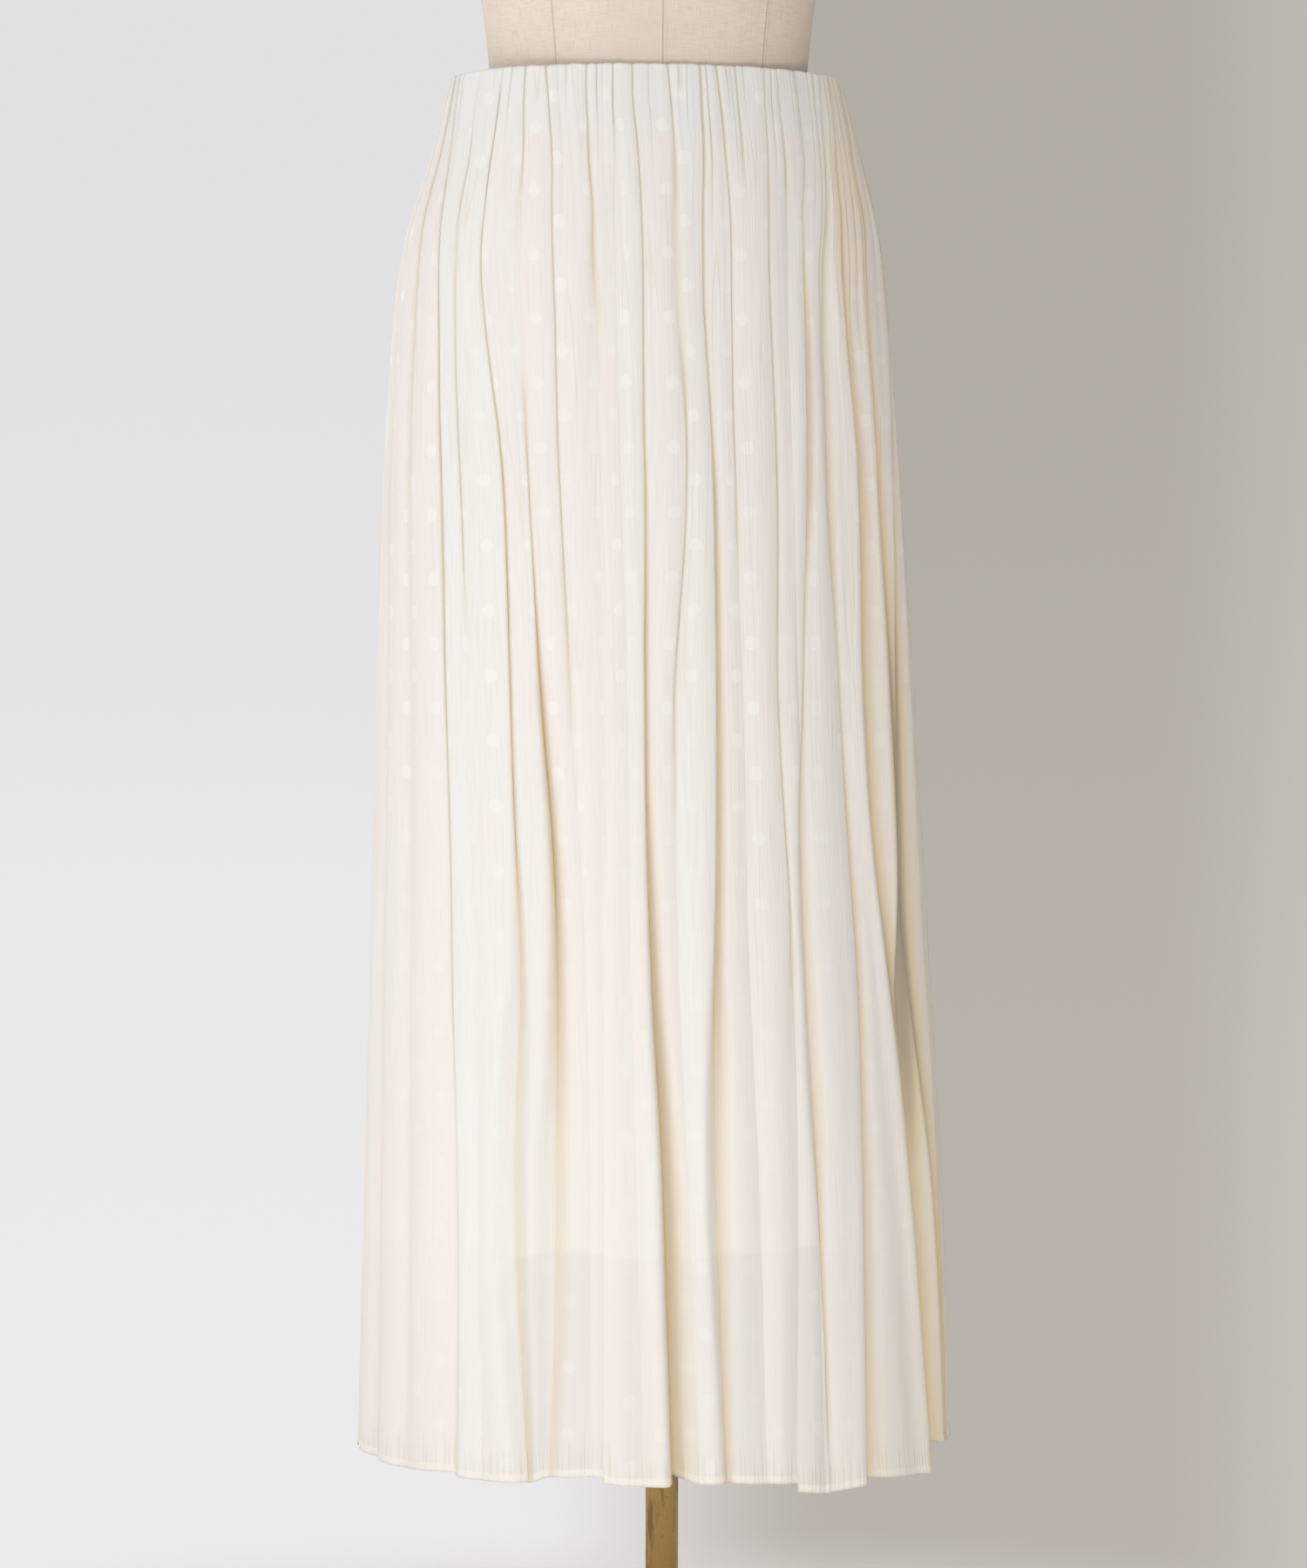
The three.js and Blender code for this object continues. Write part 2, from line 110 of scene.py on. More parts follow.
def times(tree, first, second):
    """One value times another."""
    return sums(tree, "MULTIPLY", first, second)


def scaled(tree, value, factor, added):
    """A value times a factor, plus another."""
    return sums(tree, "MULTIPLY_ADD", value, factor, added)


def ramp(tree, factor, stops):
    """A colour ramp through (place, colour) stops."""
    made = add_node(tree, "ValToRGB", {"Fac": factor})
    made.color_ramp.interpolation = "EASE"
    while len(made.color_ramp.elements) < len(stops):
        made.color_ramp.elements.new(0.5)
    for element, (place, colour) in zip(made.color_ramp.elements, stops):
        element.position = place
        element.color = colour
    return made.outputs["Color"]


def rise(tree, value, low, high):
    """0 below low, 1 above high and a smooth rise between them."""
    return add_node(tree, "MapRange", {"Value": value, "From Min": low, "From Max": high},
                    interpolation_type="SMOOTHSTEP").outputs["Result"]


def blended(tree, factor, first, second, blend="MIX"):
    """Two colours mixed."""
    made = add_node(tree, "Mix", {"Factor": factor}, data_type="RGBA", blend_type=blend)
    for socket, value in ((made.inputs[6], first), (made.inputs[7], second)):
        if isinstance(value, bpy.types.NodeSocket):
            tree.links.new(value, socket)
        else:
            socket.default_value = value
    return made.outputs[2]


def studio_world():
    """The camera sees the backdrop; everything else is lit by a room that is bright on the left."""
    world = bpy.data.worlds.new("studio")
    bpy.context.scene.world = world
    world.use_nodes = True
    tree = world.node_tree
    tree.nodes.clear()
    place = add_node(tree, "TexCoord").outputs["Generated"]
    across = (math.cos(CAMERA_TURN), math.sin(CAMERA_TURN), 0)
    right = dot(tree, place, across)
    # Painted light on the backdrop: bright on the left, dimmer to the right, a little lighter again at the
    # far right edge, and darker towards the top.
    backdrop = ramp(tree, rise(tree, right, -0.16, 0.16), [
        (0.0, BACKDROP_LEFT), (0.36, BACKDROP_LEFT), (0.66, BACKDROP_RIGHT), (0.9, BACKDROP_RIGHT),
        (1.0, BACKDROP_EDGE)])
    height = add_node(tree, "SeparateXYZ", {0: place}).outputs["Z"]
    lower = rise(tree, height, 0.14, -0.17)
    fall_off = ramp(tree, lower, [(0, (0.94, 0.94, 0.94, 1)), (1, (1.03, 1.03, 1.03, 1))])
    backdrop = blended(tree, 1.0, backdrop, fall_off, "MULTIPLY")
    room = ramp(tree, scaled(tree, dot(tree, place, DIM_SIDE), 0.5, 0.5), [
        (0.0, ROOM_BRIGHT_SIDE), (0.42, ROOM_FRONT), (0.74, ROOM_FRONT), (0.98, ROOM_DIM_SIDE)])
    seen = add_node(tree, "Background", {"Color": backdrop, "Strength": 1.0})
    lit = add_node(tree, "Background", {"Color": room, "Strength": ROOM_STRENGTH})
    camera_ray = add_node(tree, "LightPath").outputs["Is Camera Ray"]
    mix = add_node(tree, "MixShader", {0: camera_ray, 1: lit.outputs[0], 2: seen.outputs[0]})
    add_node(tree, "OutputWorld", {"Surface": mix.outputs[0]})


def soft_light(name, place, aim, size, power, colour):
    """A square soft box that faces a point."""
    data = bpy.data.lights.new(name, "AREA")
    data.shape = "RECTANGLE"
    data.size, data.size_y = size
    data.energy = power
    data.color = colour
    lamp = bpy.data.objects.new(name, data)
    lamp.location = place
    direction = np.array(aim, float) - np.array(place, float)
    turn = math.atan2(direction[0], -direction[1])
    tilt = math.atan2(math.hypot(direction[0], direction[1]), -direction[2])
    lamp.rotation_euler = (tilt, 0, math.pi + turn)
    bpy.context.collection.objects.link(lamp)


def studio_floor():
    """A disc that is solid under the stand and clears away towards its edge."""
    angles = np.linspace(0, 2 * np.pi, FLOOR_SIDES, endpoint=False)
    x, y = FLOOR_RADIUS * np.cos(angles), FLOOR_RADIUS * np.sin(angles)
    rim = np.stack([x, y, 0 * angles - FLOOR_DROP], 1)
    mesh = bpy.data.meshes.new("floor")
    mesh.from_pydata(rim.tolist(), [], [list(range(FLOOR_SIDES))])
    floor = bpy.data.objects.new("floor", mesh)
    bpy.context.collection.objects.link(floor)
    material = bpy.data.materials.new("floor_paper")
    material.use_nodes = True
    tree = material.node_tree
    shader = tree.nodes["Principled BSDF"]
    shader.inputs["Base Color"].default_value = FLOOR_COLOUR
    shader.inputs["Roughness"].default_value = 0.9
    place = add_node(tree, "TexCoord").outputs["Object"]
    distance = add_node(tree, "VectorMath", {0: place}, operation="LENGTH").outputs["Value"]
    tree.links.new(rise(tree, distance, FLOOR_RADIUS, FLOOR_SOLID_RADIUS), shader.inputs["Alpha"])
    mesh.materials.append(material)


studio_world()
soft_light("key_front", (0.9, -3.1, 0.6), (0, 0, 0.45), (2.2, 1.2), 12.5, (1.0, 0.985, 0.98))
soft_light("low_bounce", (0.5, -2.2, 0.15), (0, 0, 0.25), (2.2, 0.3), 15, (1.0, 0.985, 0.975))
soft_light("low_left", (-2.0, -1.6, 0.1), (0, 0, 0.15), (0.8, 0.4), 4, (1.0, 0.985, 0.98))
soft_light("fill_back", (-0.6, 2.7, 1.5), (0, 0, 0.7), (1.6, 1.6), 16, (1.0, 0.985, 0.97))
studio_floor()


# Skirt front and back.
# Crinkled cream cloth with tone-on-tone satin dots, one width of cloth in front and one behind,
# gathered at the waist, turned over the top edge and finished with a narrow stitched hem.
RIM_Z = 1050.0
FACING_LOW_Z = 1007.0
HEM_Z = 180.0
LINING_HEM_Z = 318.0
SECTION_Z = [1050, 1000, 950, 900, 800, 650, 500, 350, 180]
SECTION_WIDTH = [124, 137, 151, 157.5, 164.5, 170.5, 176.5, 182.5, 187]
SECTION_DEPTH = [88.2, 100, 112, 120, 130, 140, 148, 156, 163]
SECTION_RIGHT = [-10, -9.5, -11, -12, -12, -9.5, -7.5, -5, -4.5]
SECTION_BACK = [0, 2, 5, 7, 8, 7, 6, 5, 4]

# Folds of the front from the left seam to the right one. Each has its place in degrees round the
# skirt at every height of FOLD_Z, how much lower the hem hangs to its left and to its right, in mm,
# and its stations: height, depth, width of the shaded floor to its right, how crisp its left edge is.
FOLD_Z = [1050, 930, 800, 650, 500, 340, 180]
FLAT = [(1050, 0, 2, 0), (180, 0, 2, 0)]
FRONT_FOLDS = [
    ((-90, -90, -90, -90, -90, -90, -90), (-5, -5), FLAT),
    ((-86, -82, -79, -78, -77, -76, -75), (-1.6, -1.6), [
        (1050, 1, 1.5, 1), (930, 0.6, 3, 0), (500, 1, 4, 0), (180, 2.5, 6, 0)]),
    ((-81, -71, -67, -64.5, -63, -62, -61), (0, 0), [
        (1050, 1.2, 1.5, 1), (960, 1.5, 2, 0.8), (860, 1.5, 3, 0.3), (700, 0.8, 4, 0), (500, 0.4, 5, 0),
        (180, 1, 6, 0)]),
    ((-76, -61, -54.5, -52, -49, -47, -46), (-2, 0.5), [
        (1050, 0.8, 1.2, 1), (990, 0.8, 1.2, 0.6), (940, 1.5, 1.2, 1), (900, 5, 1.5, 1), (800, 8, 2.2, 1),
        (700, 7, 2, 1), (600, 5, 1.5, 1), (540, 2, 1.2, 1), (440, 0.7, 1.2, 0.9), (180, 0.7, 1.2, 0.9)]),
    ((-62, -54.5, -48.5, -45.5, -43, -41.5, -40), (1.5, 1.5), [
        (1050, 0.2, 1.2, 1), (1012, 0.4, 1.2, 1), (985, 1.6, 1.2, 1), (945, 1, 1.5, 0.6),
        (870, 1, 1.2, 0.8), (740, 1.4, 1.2, 1), (700, 0.5, 2, 0), (600, 0, 4, 0), (180, 0.4, 6, 0)]),
    ((-51, -46, -37, -35, -32.5, -34, -30), (1, 1.5), [
        (1050, 0.3, 1.2, 1), (1038, 0.4, 1.2, 1), (1022, 2.2, 1.2, 1), (950, 2.6, 1.2, 1),
        (900, 2, 1.5, 0.7), (860, 3.5, 1.6, 1), (780, 6, 2.4, 1), (650, 6, 2.8, 1), (560, 5, 3, 0.9),
        (500, 4.5, 4, 0.5), (440, 5, 6, 0.2), (337, 5.5, 7.5, 0), (250, 5, 6, 0.1), (180, 4.5, 4, 0.3)]),
    ((-42, -35, -30.5, -27.5, -24.5, -25, -25.5), (-3, -3), [
        (1050, 1.8, 1.2, 1), (985, 2, 1.3, 1), (960, 0.6, 3, 0.2), (870, 0.4, 3, 0), (830, 1.5, 1.4, 0.8),
        (760, 2.5, 1.4, 1), (710, 3.5, 2.6, 1), (640, 5, 4.5, 1), (540, 5.5, 6, 1), (460, 5.5, 6.5, 0.7),
        (380, 5, 7, 0.2), (280, 4.5, 7, 0.1), (215, 4, 5, 0.2), (180, 2.5, 4, 0.2)]),
    ((-34.5, -26, -23, -20.5, -18, -17.5, -17.5), (-4.3, -4.3), [
        (1050, 2.6, 1.2, 1), (960, 2.8, 1.3, 1), (900, 2.6, 1.4, 1), (840, 1.8, 1.2, 1),
        (720, 1.6, 1.2, 1), (660, 0.8, 1.5, 0.6), (610, 0, 3, 0), (180, 0, 5, 0)]),
    ((-22.5, -16, -14, -14, -14.5, -15, -15), (-3.6, -0.2), [
        (1050, 2.4, 1.2, 1), (985, 2.4, 1.6, 1), (930, 2.2, 2.2, 0.7), (880, 1, 5, 0), (820, 0, 6, 0),
        (180, 0, 6, 0)]),
    ((-14, -11, -9.5, -9, -9, -8.5, -7.5), (1.5, 1.5), [
        (1050, 1.8, 1.2, 1), (1018, 1.5, 1.2, 1), (1002, 0.4, 1.4, 0.8), (950, 0.3, 3, 0), (900, 0, 5, 0),
        (180, 0.4, 8, 0)]),
    ((-8.5, -5, -4.5, -5.5, -5, -3.5, -2), (1.2, -4.6), [
        (1050, 2, 1.2, 1), (985, 2, 1.2, 1), (930, 2.8, 1.3, 1), (870, 3.5, 1.5, 1), (800, 5, 2.2, 1),
        (700, 6.5, 3.2, 1), (600, 6.5, 3.5, 1), (540, 7, 5, 1), (440, 7.5, 7, 1), (337, 9, 10, 1),
        (180, 9, 10.5, 1)]),
    ((1.5, 3, 4.5, 1, 0.5, 1.5, 3), (0.5, 0.5), [
        (1050, 0.8, 1.2, 1), (1030, 1.2, 1.2, 1), (990, 1.6, 1.4, 0.8), (940, 0.8, 3, 0.2),
        (880, 1, 3, 0.3), (830, 2.2, 1.6, 1), (760, 2.2, 1.4, 1), (700, 1.6, 1.3, 1), (600, 0.8, 1.5, 0.6),
        (560, 0.2, 3, 0), (180, 0, 5, 0)]),
    ((11.5, 9.5, 10.5, 9.5, 8, 7, 8), (0.5, 0), [
        (1050, 3, 1.8, 1), (1010, 3.4, 2, 1), (960, 2.4, 1.6, 0.9), (900, 1.8, 1.6, 0.8), (830, 3, 1.8, 1),
        (780, 6, 3.2, 1), (650, 7, 4, 1), (500, 6.5, 5, 1), (430, 5, 6, 0.6), (337, 4.5, 6, 0.4),
        (250, 3.5, 4, 0.5), (180, 3, 3.5, 0.6)]),
    ((15.5, 16, 15.5, 15.5, 15, 15.5, 16), (1.6, 1.6), [
        (1050, 3.2, 2, 1), (1010, 3.4, 2.2, 1), (965, 2.2, 1.3, 1), (880, 1.8, 1.2, 1), (790, 1.6, 1.2, 1),
        (740, 0.6, 2, 0.4), (700, 0, 4, 0), (180, 0, 5, 0)]),
    ((31.5, 26, 25.5, 23.5, 24.5, 23.5, 22.2), (2.6, 7.9), [
        (1050, 2.2, 1.2, 1), (985, 2.4, 1.4, 1), (900, 2.4, 1.5, 1), (800, 3.2, 1.8, 1),
        (700, 3.4, 1.8, 1), (580, 3.4, 1.8, 1), (520, 2.2, 1.6, 1), (470, 0.8, 3, 0.2), (400, 0, 5, 0),
        (180, 0.5, 6, 0)]),
    ((37, 31, 29.5, 28.5, 28, 28, 28.5), (10, 10), [
        (1050, 1, 1.2, 1), (1034, 1.8, 1.2, 1), (985, 1.2, 1.3, 0.8), (950, 0.4, 3, 0), (900, 0, 5, 0),
        (180, 0, 5, 0)]),
    ((45, 36.5, 33.5, 29.5, 28, 28.5, 30), (9.8, 9.8), [
        (1050, 2.4, 1.4, 1), (985, 2.2, 1.6, 1), (940, 2.4, 1.8, 0.9), (900, 4, 3.4, 1), (860, 6, 5, 1),
        (790, 6, 5, 1), (750, 3.5, 3, 1), (720, 2, 2, 0.8), (660, 1.6, 1.4, 0.8), (600, 2, 2.5, 0.5),
        (540, 2.5, 4, 0.4), (420, 2.5, 5, 0.4), (337, 2.4, 3, 0.7), (250, 2, 2, 0.8), (200, 0.6, 3, 0.2),
        (180, 0.4, 4, 0)]),
    ((56.5, 43.5, 40.5, 40, 41, 40, 39.5), (7.1, 4.3), [
        (1050, 1.8, 1.3, 1), (985, 2, 1.6, 0.9), (900, 1.2, 3, 0.3), (800, 1.8, 4, 0.4),
        (740, 2.5, 3, 0.6), (700, 3, 2, 0.9), (640, 3.5, 2, 1), (600, 5, 3, 1), (500, 6, 4.5, 1),
        (420, 6, 5, 1), (337, 7.5, 7.5, 1), (180, 8, 10, 1)]),
    ((62.5, 49.5, 50.5, 49, 51.5, 55.5, 60), (7.5, -8.9), [
        (1050, 3, 2, 1), (985, 3.6, 2.8, 1), (930, 4, 4, 1), (860, 5, 6, 0.8), (780, 6, 8, 0.7),
        (650, 6, 9, 0.6), (560, 6, 9, 0.6), (500, 6, 11, 0.8), (420, 7, 16, 1), (337, 8, 22, 1),
        (180, 9, 30, 1)]),
    ((72.5, 61.5, 60, 58, 57, 60.5, 65), (-9.3, -9.3), [
        (1050, 3.2, 2.4, 1), (950, 4, 4, 1), (880, 4.5, 6, 0.8), (800, 5, 8, 0.9), (700, 5.5, 12, 1),
        (600, 5, 16, 1), (500, 4, 16, 0.9), (420, 2.5, 12, 0.6), (337, 1.5, 8, 0.4), (180, 1, 4, 0.4)]),
    ((77, 75, 70.5, 64.5, 60.5, 67, 72), (-6.6, -6.6), [
        (1050, 3, 2.4, 1), (900, 4, 4, 0.9), (800, 4, 7, 0.6), (700, 4, 10, 0.7), (500, 5, 16, 1),
        (337, 6, 18, 1), (180, 6, 18, 1)]),
    ((84, 83, 79, 75.5, 74, 76.5, 80), (-5.6, -5.6), [
        (1050, 1.5, 1.2, 1), (900, 2, 1.6, 0.8), (700, 3, 6, 0.6), (500, 3, 8, 0.6), (180, 3.6, 8, 0.6)]),
    ((90, 90, 90, 90, 90, 90, 90), (-5, -5), FLAT),
]
# How cool the cloth's tone is between two folds, from the left seam to the right one.
PANEL_COOLNESS = [0.3, 0.2, 0.05, 0.95, 0.75, 0.6, 0.2, 0.15, 0.35, 0.6, 0.3, 0.7, 0.3, 0.15, 0.3,
                  0.5, 0.4, 0.3, 0.2, 0.2, 0.2, 0.2]
# Short gathers that hang from the rim between the folds: place in degrees at the rim, length, depth
# and width.
FRONT_GATHERS = [
    (-72, 90, 0.5, 0.8), (-54, 28, 0.4, 0.7), (-47, 62, 0.6, 0.8), (-31, 95, 0.3, 1),
    (-28.5, 30, 0.6, 0.7), (-19, 70, 0.8, 0.9), (-17, 26, 0.4, 0.7), (-4, 85, 0.5, 0.9),
    (5, 34, 0.4, 0.7), (7.5, 58, 0.5, 0.8), (13, 110, 1.2, 1), (18.5, 40, 0.7, 0.9),
    (21.5, 75, 2.1, 1.5), (24, 30, 0.6, 0.8), (34.5, 72, 1.1, 0.9), (42.5, 36, 0.5, 0.8),
    (50, 110, 1, 1.1), (53.5, 210, 1.3, 1.2), (59.5, 150, 1.6, 1.4), (65, 260, 1.6, 1.5),
    (67.5, 190, 1.8, 1.8), (70, 340, 1.6, 1.6), (75, 130, 1.2, 1.4), (80, 280, 1.6, 1.4),
]
BACK_GATHERS = 19
BACK_FOLDS = 20
BACK_WANDER = np.array([1.2, 1.6, 1.8, 2, 2.2, 2.4, 2.6])
BACK_DEPTH = 3.6
SWELL = [0.3, 1.1, 1.6, 2, 2.2, 2.4, 2.7]
SWELL_FULL_WIDTH = 34.0
CREST_SHARE = 0.23
SIDE_CREST_SHARE = 0.42
# The next three set the painted shade in the folds' colour: how strong it is beside folds at the right
# side, how much of its browner part is added, and how strong a thin line at a front fold's edge is.
SIDE_PAINTED_SHADE = 1.15
PAINTED_DARK_SHARE = 0.9
FRONT_PAINTED_DARK = 0.1
LIP_STEEP = 0.16
LIP_STEEP_PER_DEPTH = 0.18
LIP_LEAN = 0.35
RISE_REACH = 9.0
RISE_SHARE = 0.3
NARROWED = 0.48
SLOT_DEPTH = 0.7
SLOT_DEPTH_PER_WIDTH = 0.34
SLOT_DEPTH_PER_SQUARE = 0.085
SOFT_REACH = 1.5
RIM_DIP = 1.1
RIM_LOWER = 0.35
GRID_PER_PANEL = 13
GRID_CROWDING = 0.132
CLOTH_THICK = 0.5
HEM_HEIGHT = 4.5
HEM_STEP = 0.3
DOT_COLUMN = 20.0
DOT_REPEAT = 40.0
DOT_RADIUS = 4.4
# How the top edge turns to the inside: distance inwards and height over the rim, from the inside.
ROLL_OVER = [(4.7, -9), (4.6, -3), (3.9, -0.6), (2.6, 0.2), (1.2, 0), (0.3, -0.8)]


def smooth(heights, table, z):
    """Smooth curve by height through a table's rows; several columns give one to each of z's."""
    h = np.array(heights, float)
    v = np.array(table, float)
    if v.ndim == 1:
        v = np.repeat(v[:, None], z.shape[-1], axis=1)
    slope = np.empty_like(v)
    slope[1:-1] = (v[2:] - v[:-2]) / (h[2:] - h[:-2])[:, None]
    slope[0] = (v[1] - v[0]) / (h[1] - h[0])
    slope[-1] = (v[-1] - v[-2]) / (h[-1] - h[-2])
    z = np.clip(z, h[-1], h[0])
    k = np.clip(np.searchsorted(-h, -z, side="right") - 1, 0, len(h) - 2)
    col = np.broadcast_to(np.arange(z.shape[-1]), z.shape)
    step = h[k + 1] - h[k]
    t = (z - h[k]) / step
    stay = (1 + 2 * t) * (1 - t) ** 2
    ends = stay * v[k, col] + (1 - stay) * v[k + 1, col]
    return ends + step * t * (1 - t) * ((1 - t) * slope[k, col] - t * slope[k + 1, col])


def back_folds():
    """The folds of the back lie a steady step apart and wander. Each has its own rhythm of deep and
    shallow, and of crisp and soft, and its floor grows wider towards the hem."""
    rows = []
    level = np.array([0, 1, 2, 2.5, 3, 3.5, 4])
    heights = np.array([1050, 985, 930, 870, 800, 700, 600, 500, 340, 180])
    for k in range(1, BACK_FOLDS + 1):
        places = 90 + 180 * k / (BACK_FOLDS + 1) + BACK_WANDER * np.sin(2.4 * k + 0.55 * level)
        down = (RIM_Z - heights) / (RIM_Z - HEM_Z)
        rhythm = np.sin(2.2 * k + 3.1 * down + 1.3 * np.sin(1.9 * k))
        depth = 2.0 + (BACK_DEPTH * (1 + 0.9 * rhythm) + 2.5 * down - 2.0) * np.minimum(1, 5 * down)
        wide = 1.3 + 5.5 * down * (0.55 + 0.45 * np.sin(1.4 * k))
        crisp = np.clip(1 - 1.6 * down * (0.5 + 0.5 * np.sin(0.9 * k + 1)), 0, 1)
        depth = np.maximum(depth, 0)
        hang = 1.5 * math.sin(2.9 * k)
        step = 4.5 * max(0.0, math.sin(1.7 * k + 0.6)) * crisp[-1]
        stations = list(zip(heights, depth, wide, crisp))
        rows.append((tuple(places), (hang + step, hang - 0.5 * step), stations))
    return rows


def back_gathers():
    """Short gathers of the back, one to nearly every panel, none like its neighbour."""
    k = np.arange(1, BACK_GATHERS + 1)
    places = 90 + 180 * (k + 0.45 + 0.22 * np.sin(3.3 * k)) / (BACK_FOLDS + 1)
    length, depth = 75 + 40 * np.sin(2.1 * k), 1 + 0.5 * np.sin(4.4 * k)
    return list(zip(places, length, depth, 1 + 0.2 * np.sin(5.3 * k)))


def with_gathers(folds, gathers):
    """Folds and gathers in one list from left to right, and which of them are folds. A gather keeps
    its share of the way between the two folds beside it and fades out at the end of its length."""
    rows = []
    for left, right in zip(folds[:-1], folds[1:]):
        rows.append((left, True))
        a, b = np.array(left[0], float), np.array(right[0], float)
        for place, length, depth, wide in sorted(gathers):
            if a[0] < place < b[0]:
                share = (place - a[0]) / (b[0] - a[0])
                stations = [(RIM_Z, depth, wide, 1), (RIM_Z - 0.5 * length, 0.75 * depth, wide, 1),
                            (RIM_Z - length, 0, 2, 0.4), (HEM_Z, 0, 2, 0)]
                hang = left[1][1] + (right[1][0] - left[1][1]) * share
                rows.append(((a + (b - a) * share, (hang, hang), stations), False))
    rows.append((folds[-1], True))
    return [r[0] for r in rows], np.array([r[1] for r in rows])


def grain(u, v, u_step, v_step, seed):
    """Smooth random ridges from -1 to 1: random values on a grid, joined by cosine curves."""
    values = np.random.default_rng(seed).uniform(-1, 1, (512, 512))
    a, b = u / u_step, v / v_step
    i, j = np.floor(a).astype(int), np.floor(b).astype(int)
    s, t = (1 - np.cos(np.pi * (a - i))) / 2, (1 - np.cos(np.pi * (b - j))) / 2
    i, j, i_next, j_next = i % 512, j % 512, (i + 1) % 512, (j + 1) % 512
    top = values[i, j] * (1 - s) + values[i_next, j] * s
    low = values[i, j_next] * (1 - s) + values[i_next, j_next] * s
    return top * (1 - t) + low * t


def laps(u, v, u_step, v_step, seed):
    """Crinkle that lies in flat steps: the ridges' heights pushed towards the two levels +1 and -1."""
    return np.tanh(3.2 * grain(u, v, u_step, v_step, seed))


def lines(u, v, u_step, v_step, seed):
    """Single sharp creases that run down the cloth, meet and fade: 1 where the ridges cross zero."""
    crossing = np.exp(-((grain(u, v, u_step, v_step, seed) / 0.16) ** 2))
    return crossing * np.clip(0.25 + 1.6 * grain(u, v, 2.3 * u_step, 0.8 * v_step, seed + 50), 0, 1)


# Uneven textures: kind, amount in mm, or in degrees for the wander, steps across and down, and what
# is added to the cloth's seed.
WANDER_UNDER_RIM = [(grain, 0.62, 5.5, 33, 12)]
WANDER_LONG = [(grain, 0.42, 9, 95, 13)]
GATHERS = [(laps, 0.22, 4.2, 130, 0), (laps, 0.35, 9.5, 260, 1)]
GATHER_LINES = [(lines, 0.5, 9, 210, 2)]
CREASES = [(grain, 1.3, 44, 420, 8), (grain, 0.6, 19, 260, 3), (laps, 0.24, 9, 190, 4),
           (lines, -0.55, 15, 240, 6)]
HEM_PUCKER = [(grain, 0.25, 2.3, 400, 7)]
RIM_UNEVEN = [(grain, 0.35, 7, 100, 9)]


def texture(table, u, v, seed):
    """The sum of a table of uneven textures."""
    return sum(amount * kind(u, v, u_step, v_step, seed + added)
               for kind, amount, u_step, v_step, added in table)


def bell(x, reach):
    """1 at zero, falling off on both sides within the reach."""
    return np.exp(-((x / reach) ** 2))


def fade(value, start, end):
    """0 before start, 1 after end and a straight rise between them."""
    return np.clip((value - start) / (end - start), 0, 1)


def section(z, degrees, inset=0.0):
    """A point of the skirt's section and the direction that faces out of it."""
    width = smooth(SECTION_Z, SECTION_WIDTH, z) - inset
    depth = smooth(SECTION_Z, SECTION_DEPTH, z) - inset
    s, c = np.sin(np.radians(degrees)), np.cos(np.radians(degrees))
    x = smooth(SECTION_Z, SECTION_RIGHT, z) + width * s
    y = smooth(SECTION_Z, SECTION_BACK, z) - depth * c
    out = np.stack([s / width, -c / depth], -1)
    out /= np.linalg.norm(out, axis=-1, keepdims=True)
    return np.stack([x, y], -1), out, width, depth


def panel_columns(folds):
    """The grid's columns: each one's fold to the left and its share of the way to the next fold,
    crowded towards the folds."""
    even = np.arange(GRID_PER_PANEL) / GRID_PER_PANEL
    share = even - GRID_CROWDING * np.sin(2 * np.pi * even)
    panels = len(folds) - 1
    left = np.append(np.repeat(np.arange(panels), GRID_PER_PANEL), panels - 1)
    return left, np.append(np.tile(share, panels), 1.0)


def fold_down(stations, z):
    """Depth, floor width and crispness of one fold at heights z, straight between its stations, as
    columns; a crisp narrow floor is drawn in, and a narrow floor doesn't lie deep."""
    rows = np.array(stations, float)
    deep, wide, crisp = (np.interp(-z, -rows[:, 0], rows[:, k])[:, None] for k in (1, 2, 3))
    wide = wide * (1 - NARROWED * crisp * np.clip((4.2 - wide) / 3, 0, 1))
    most = SLOT_DEPTH + SLOT_DEPTH_PER_WIDTH * wide + SLOT_DEPTH_PER_SQUARE * wide ** 2
    return np.minimum(deep, most), wide, crisp


def rows_down(drop):
    """Heights of the grid's rows, closer together at the rim and at a hem that is lower by drop."""
    under_rim = np.array([2.2, 4.2, 7.5, 12, 18, 26, 36])
    body = np.linspace(47, RIM_Z - HEM_Z - 10, 62)
    above_hem = np.array([HEM_HEIGHT + 1, HEM_HEIGHT + 0.2, HEM_HEIGHT - 0.7, 2, 0])
    fall = np.concatenate([under_rim, body, RIM_Z - HEM_Z - above_hem]) / (RIM_Z - HEM_Z)
    return RIM_Z + (HEM_Z - drop[None, :] - RIM_Z) * fall[:, None]


def wandered(degrees, z, seed):
    """The lines down the cloth, moved a little to and fro but for the seams."""
    from_seam = np.minimum(degrees - degrees[:, :1], degrees[:, -1:] - degrees)
    wander = fade(z, 880, 970) * texture(WANDER_UNDER_RIM, degrees[:1], z, seed)
    wander = wander + texture(WANDER_LONG, degrees[:1], z, seed)
    wander = wander * (1 + fade(degrees, 25, 65) * fade(degrees, 150, 130))
    return degrees + wander * fade(from_seam, 0, 7)


def panel_swell(places, panel, z, degrees, radian):
    """Height of the swell between two folds: a half wave, lower where the panel is narrow."""
    start, end = (smooth(FOLD_Z, places[:, k], z) for k in (panel, panel + 1))
    share = np.clip((degrees - start) / (end - start), 0, 1)
    wide = np.radians(end - start) * radian
    return smooth(FOLD_Z, SWELL, z) * np.sin(np.pi * share) * np.minimum(1, wide / SWELL_FULL_WIDTH)


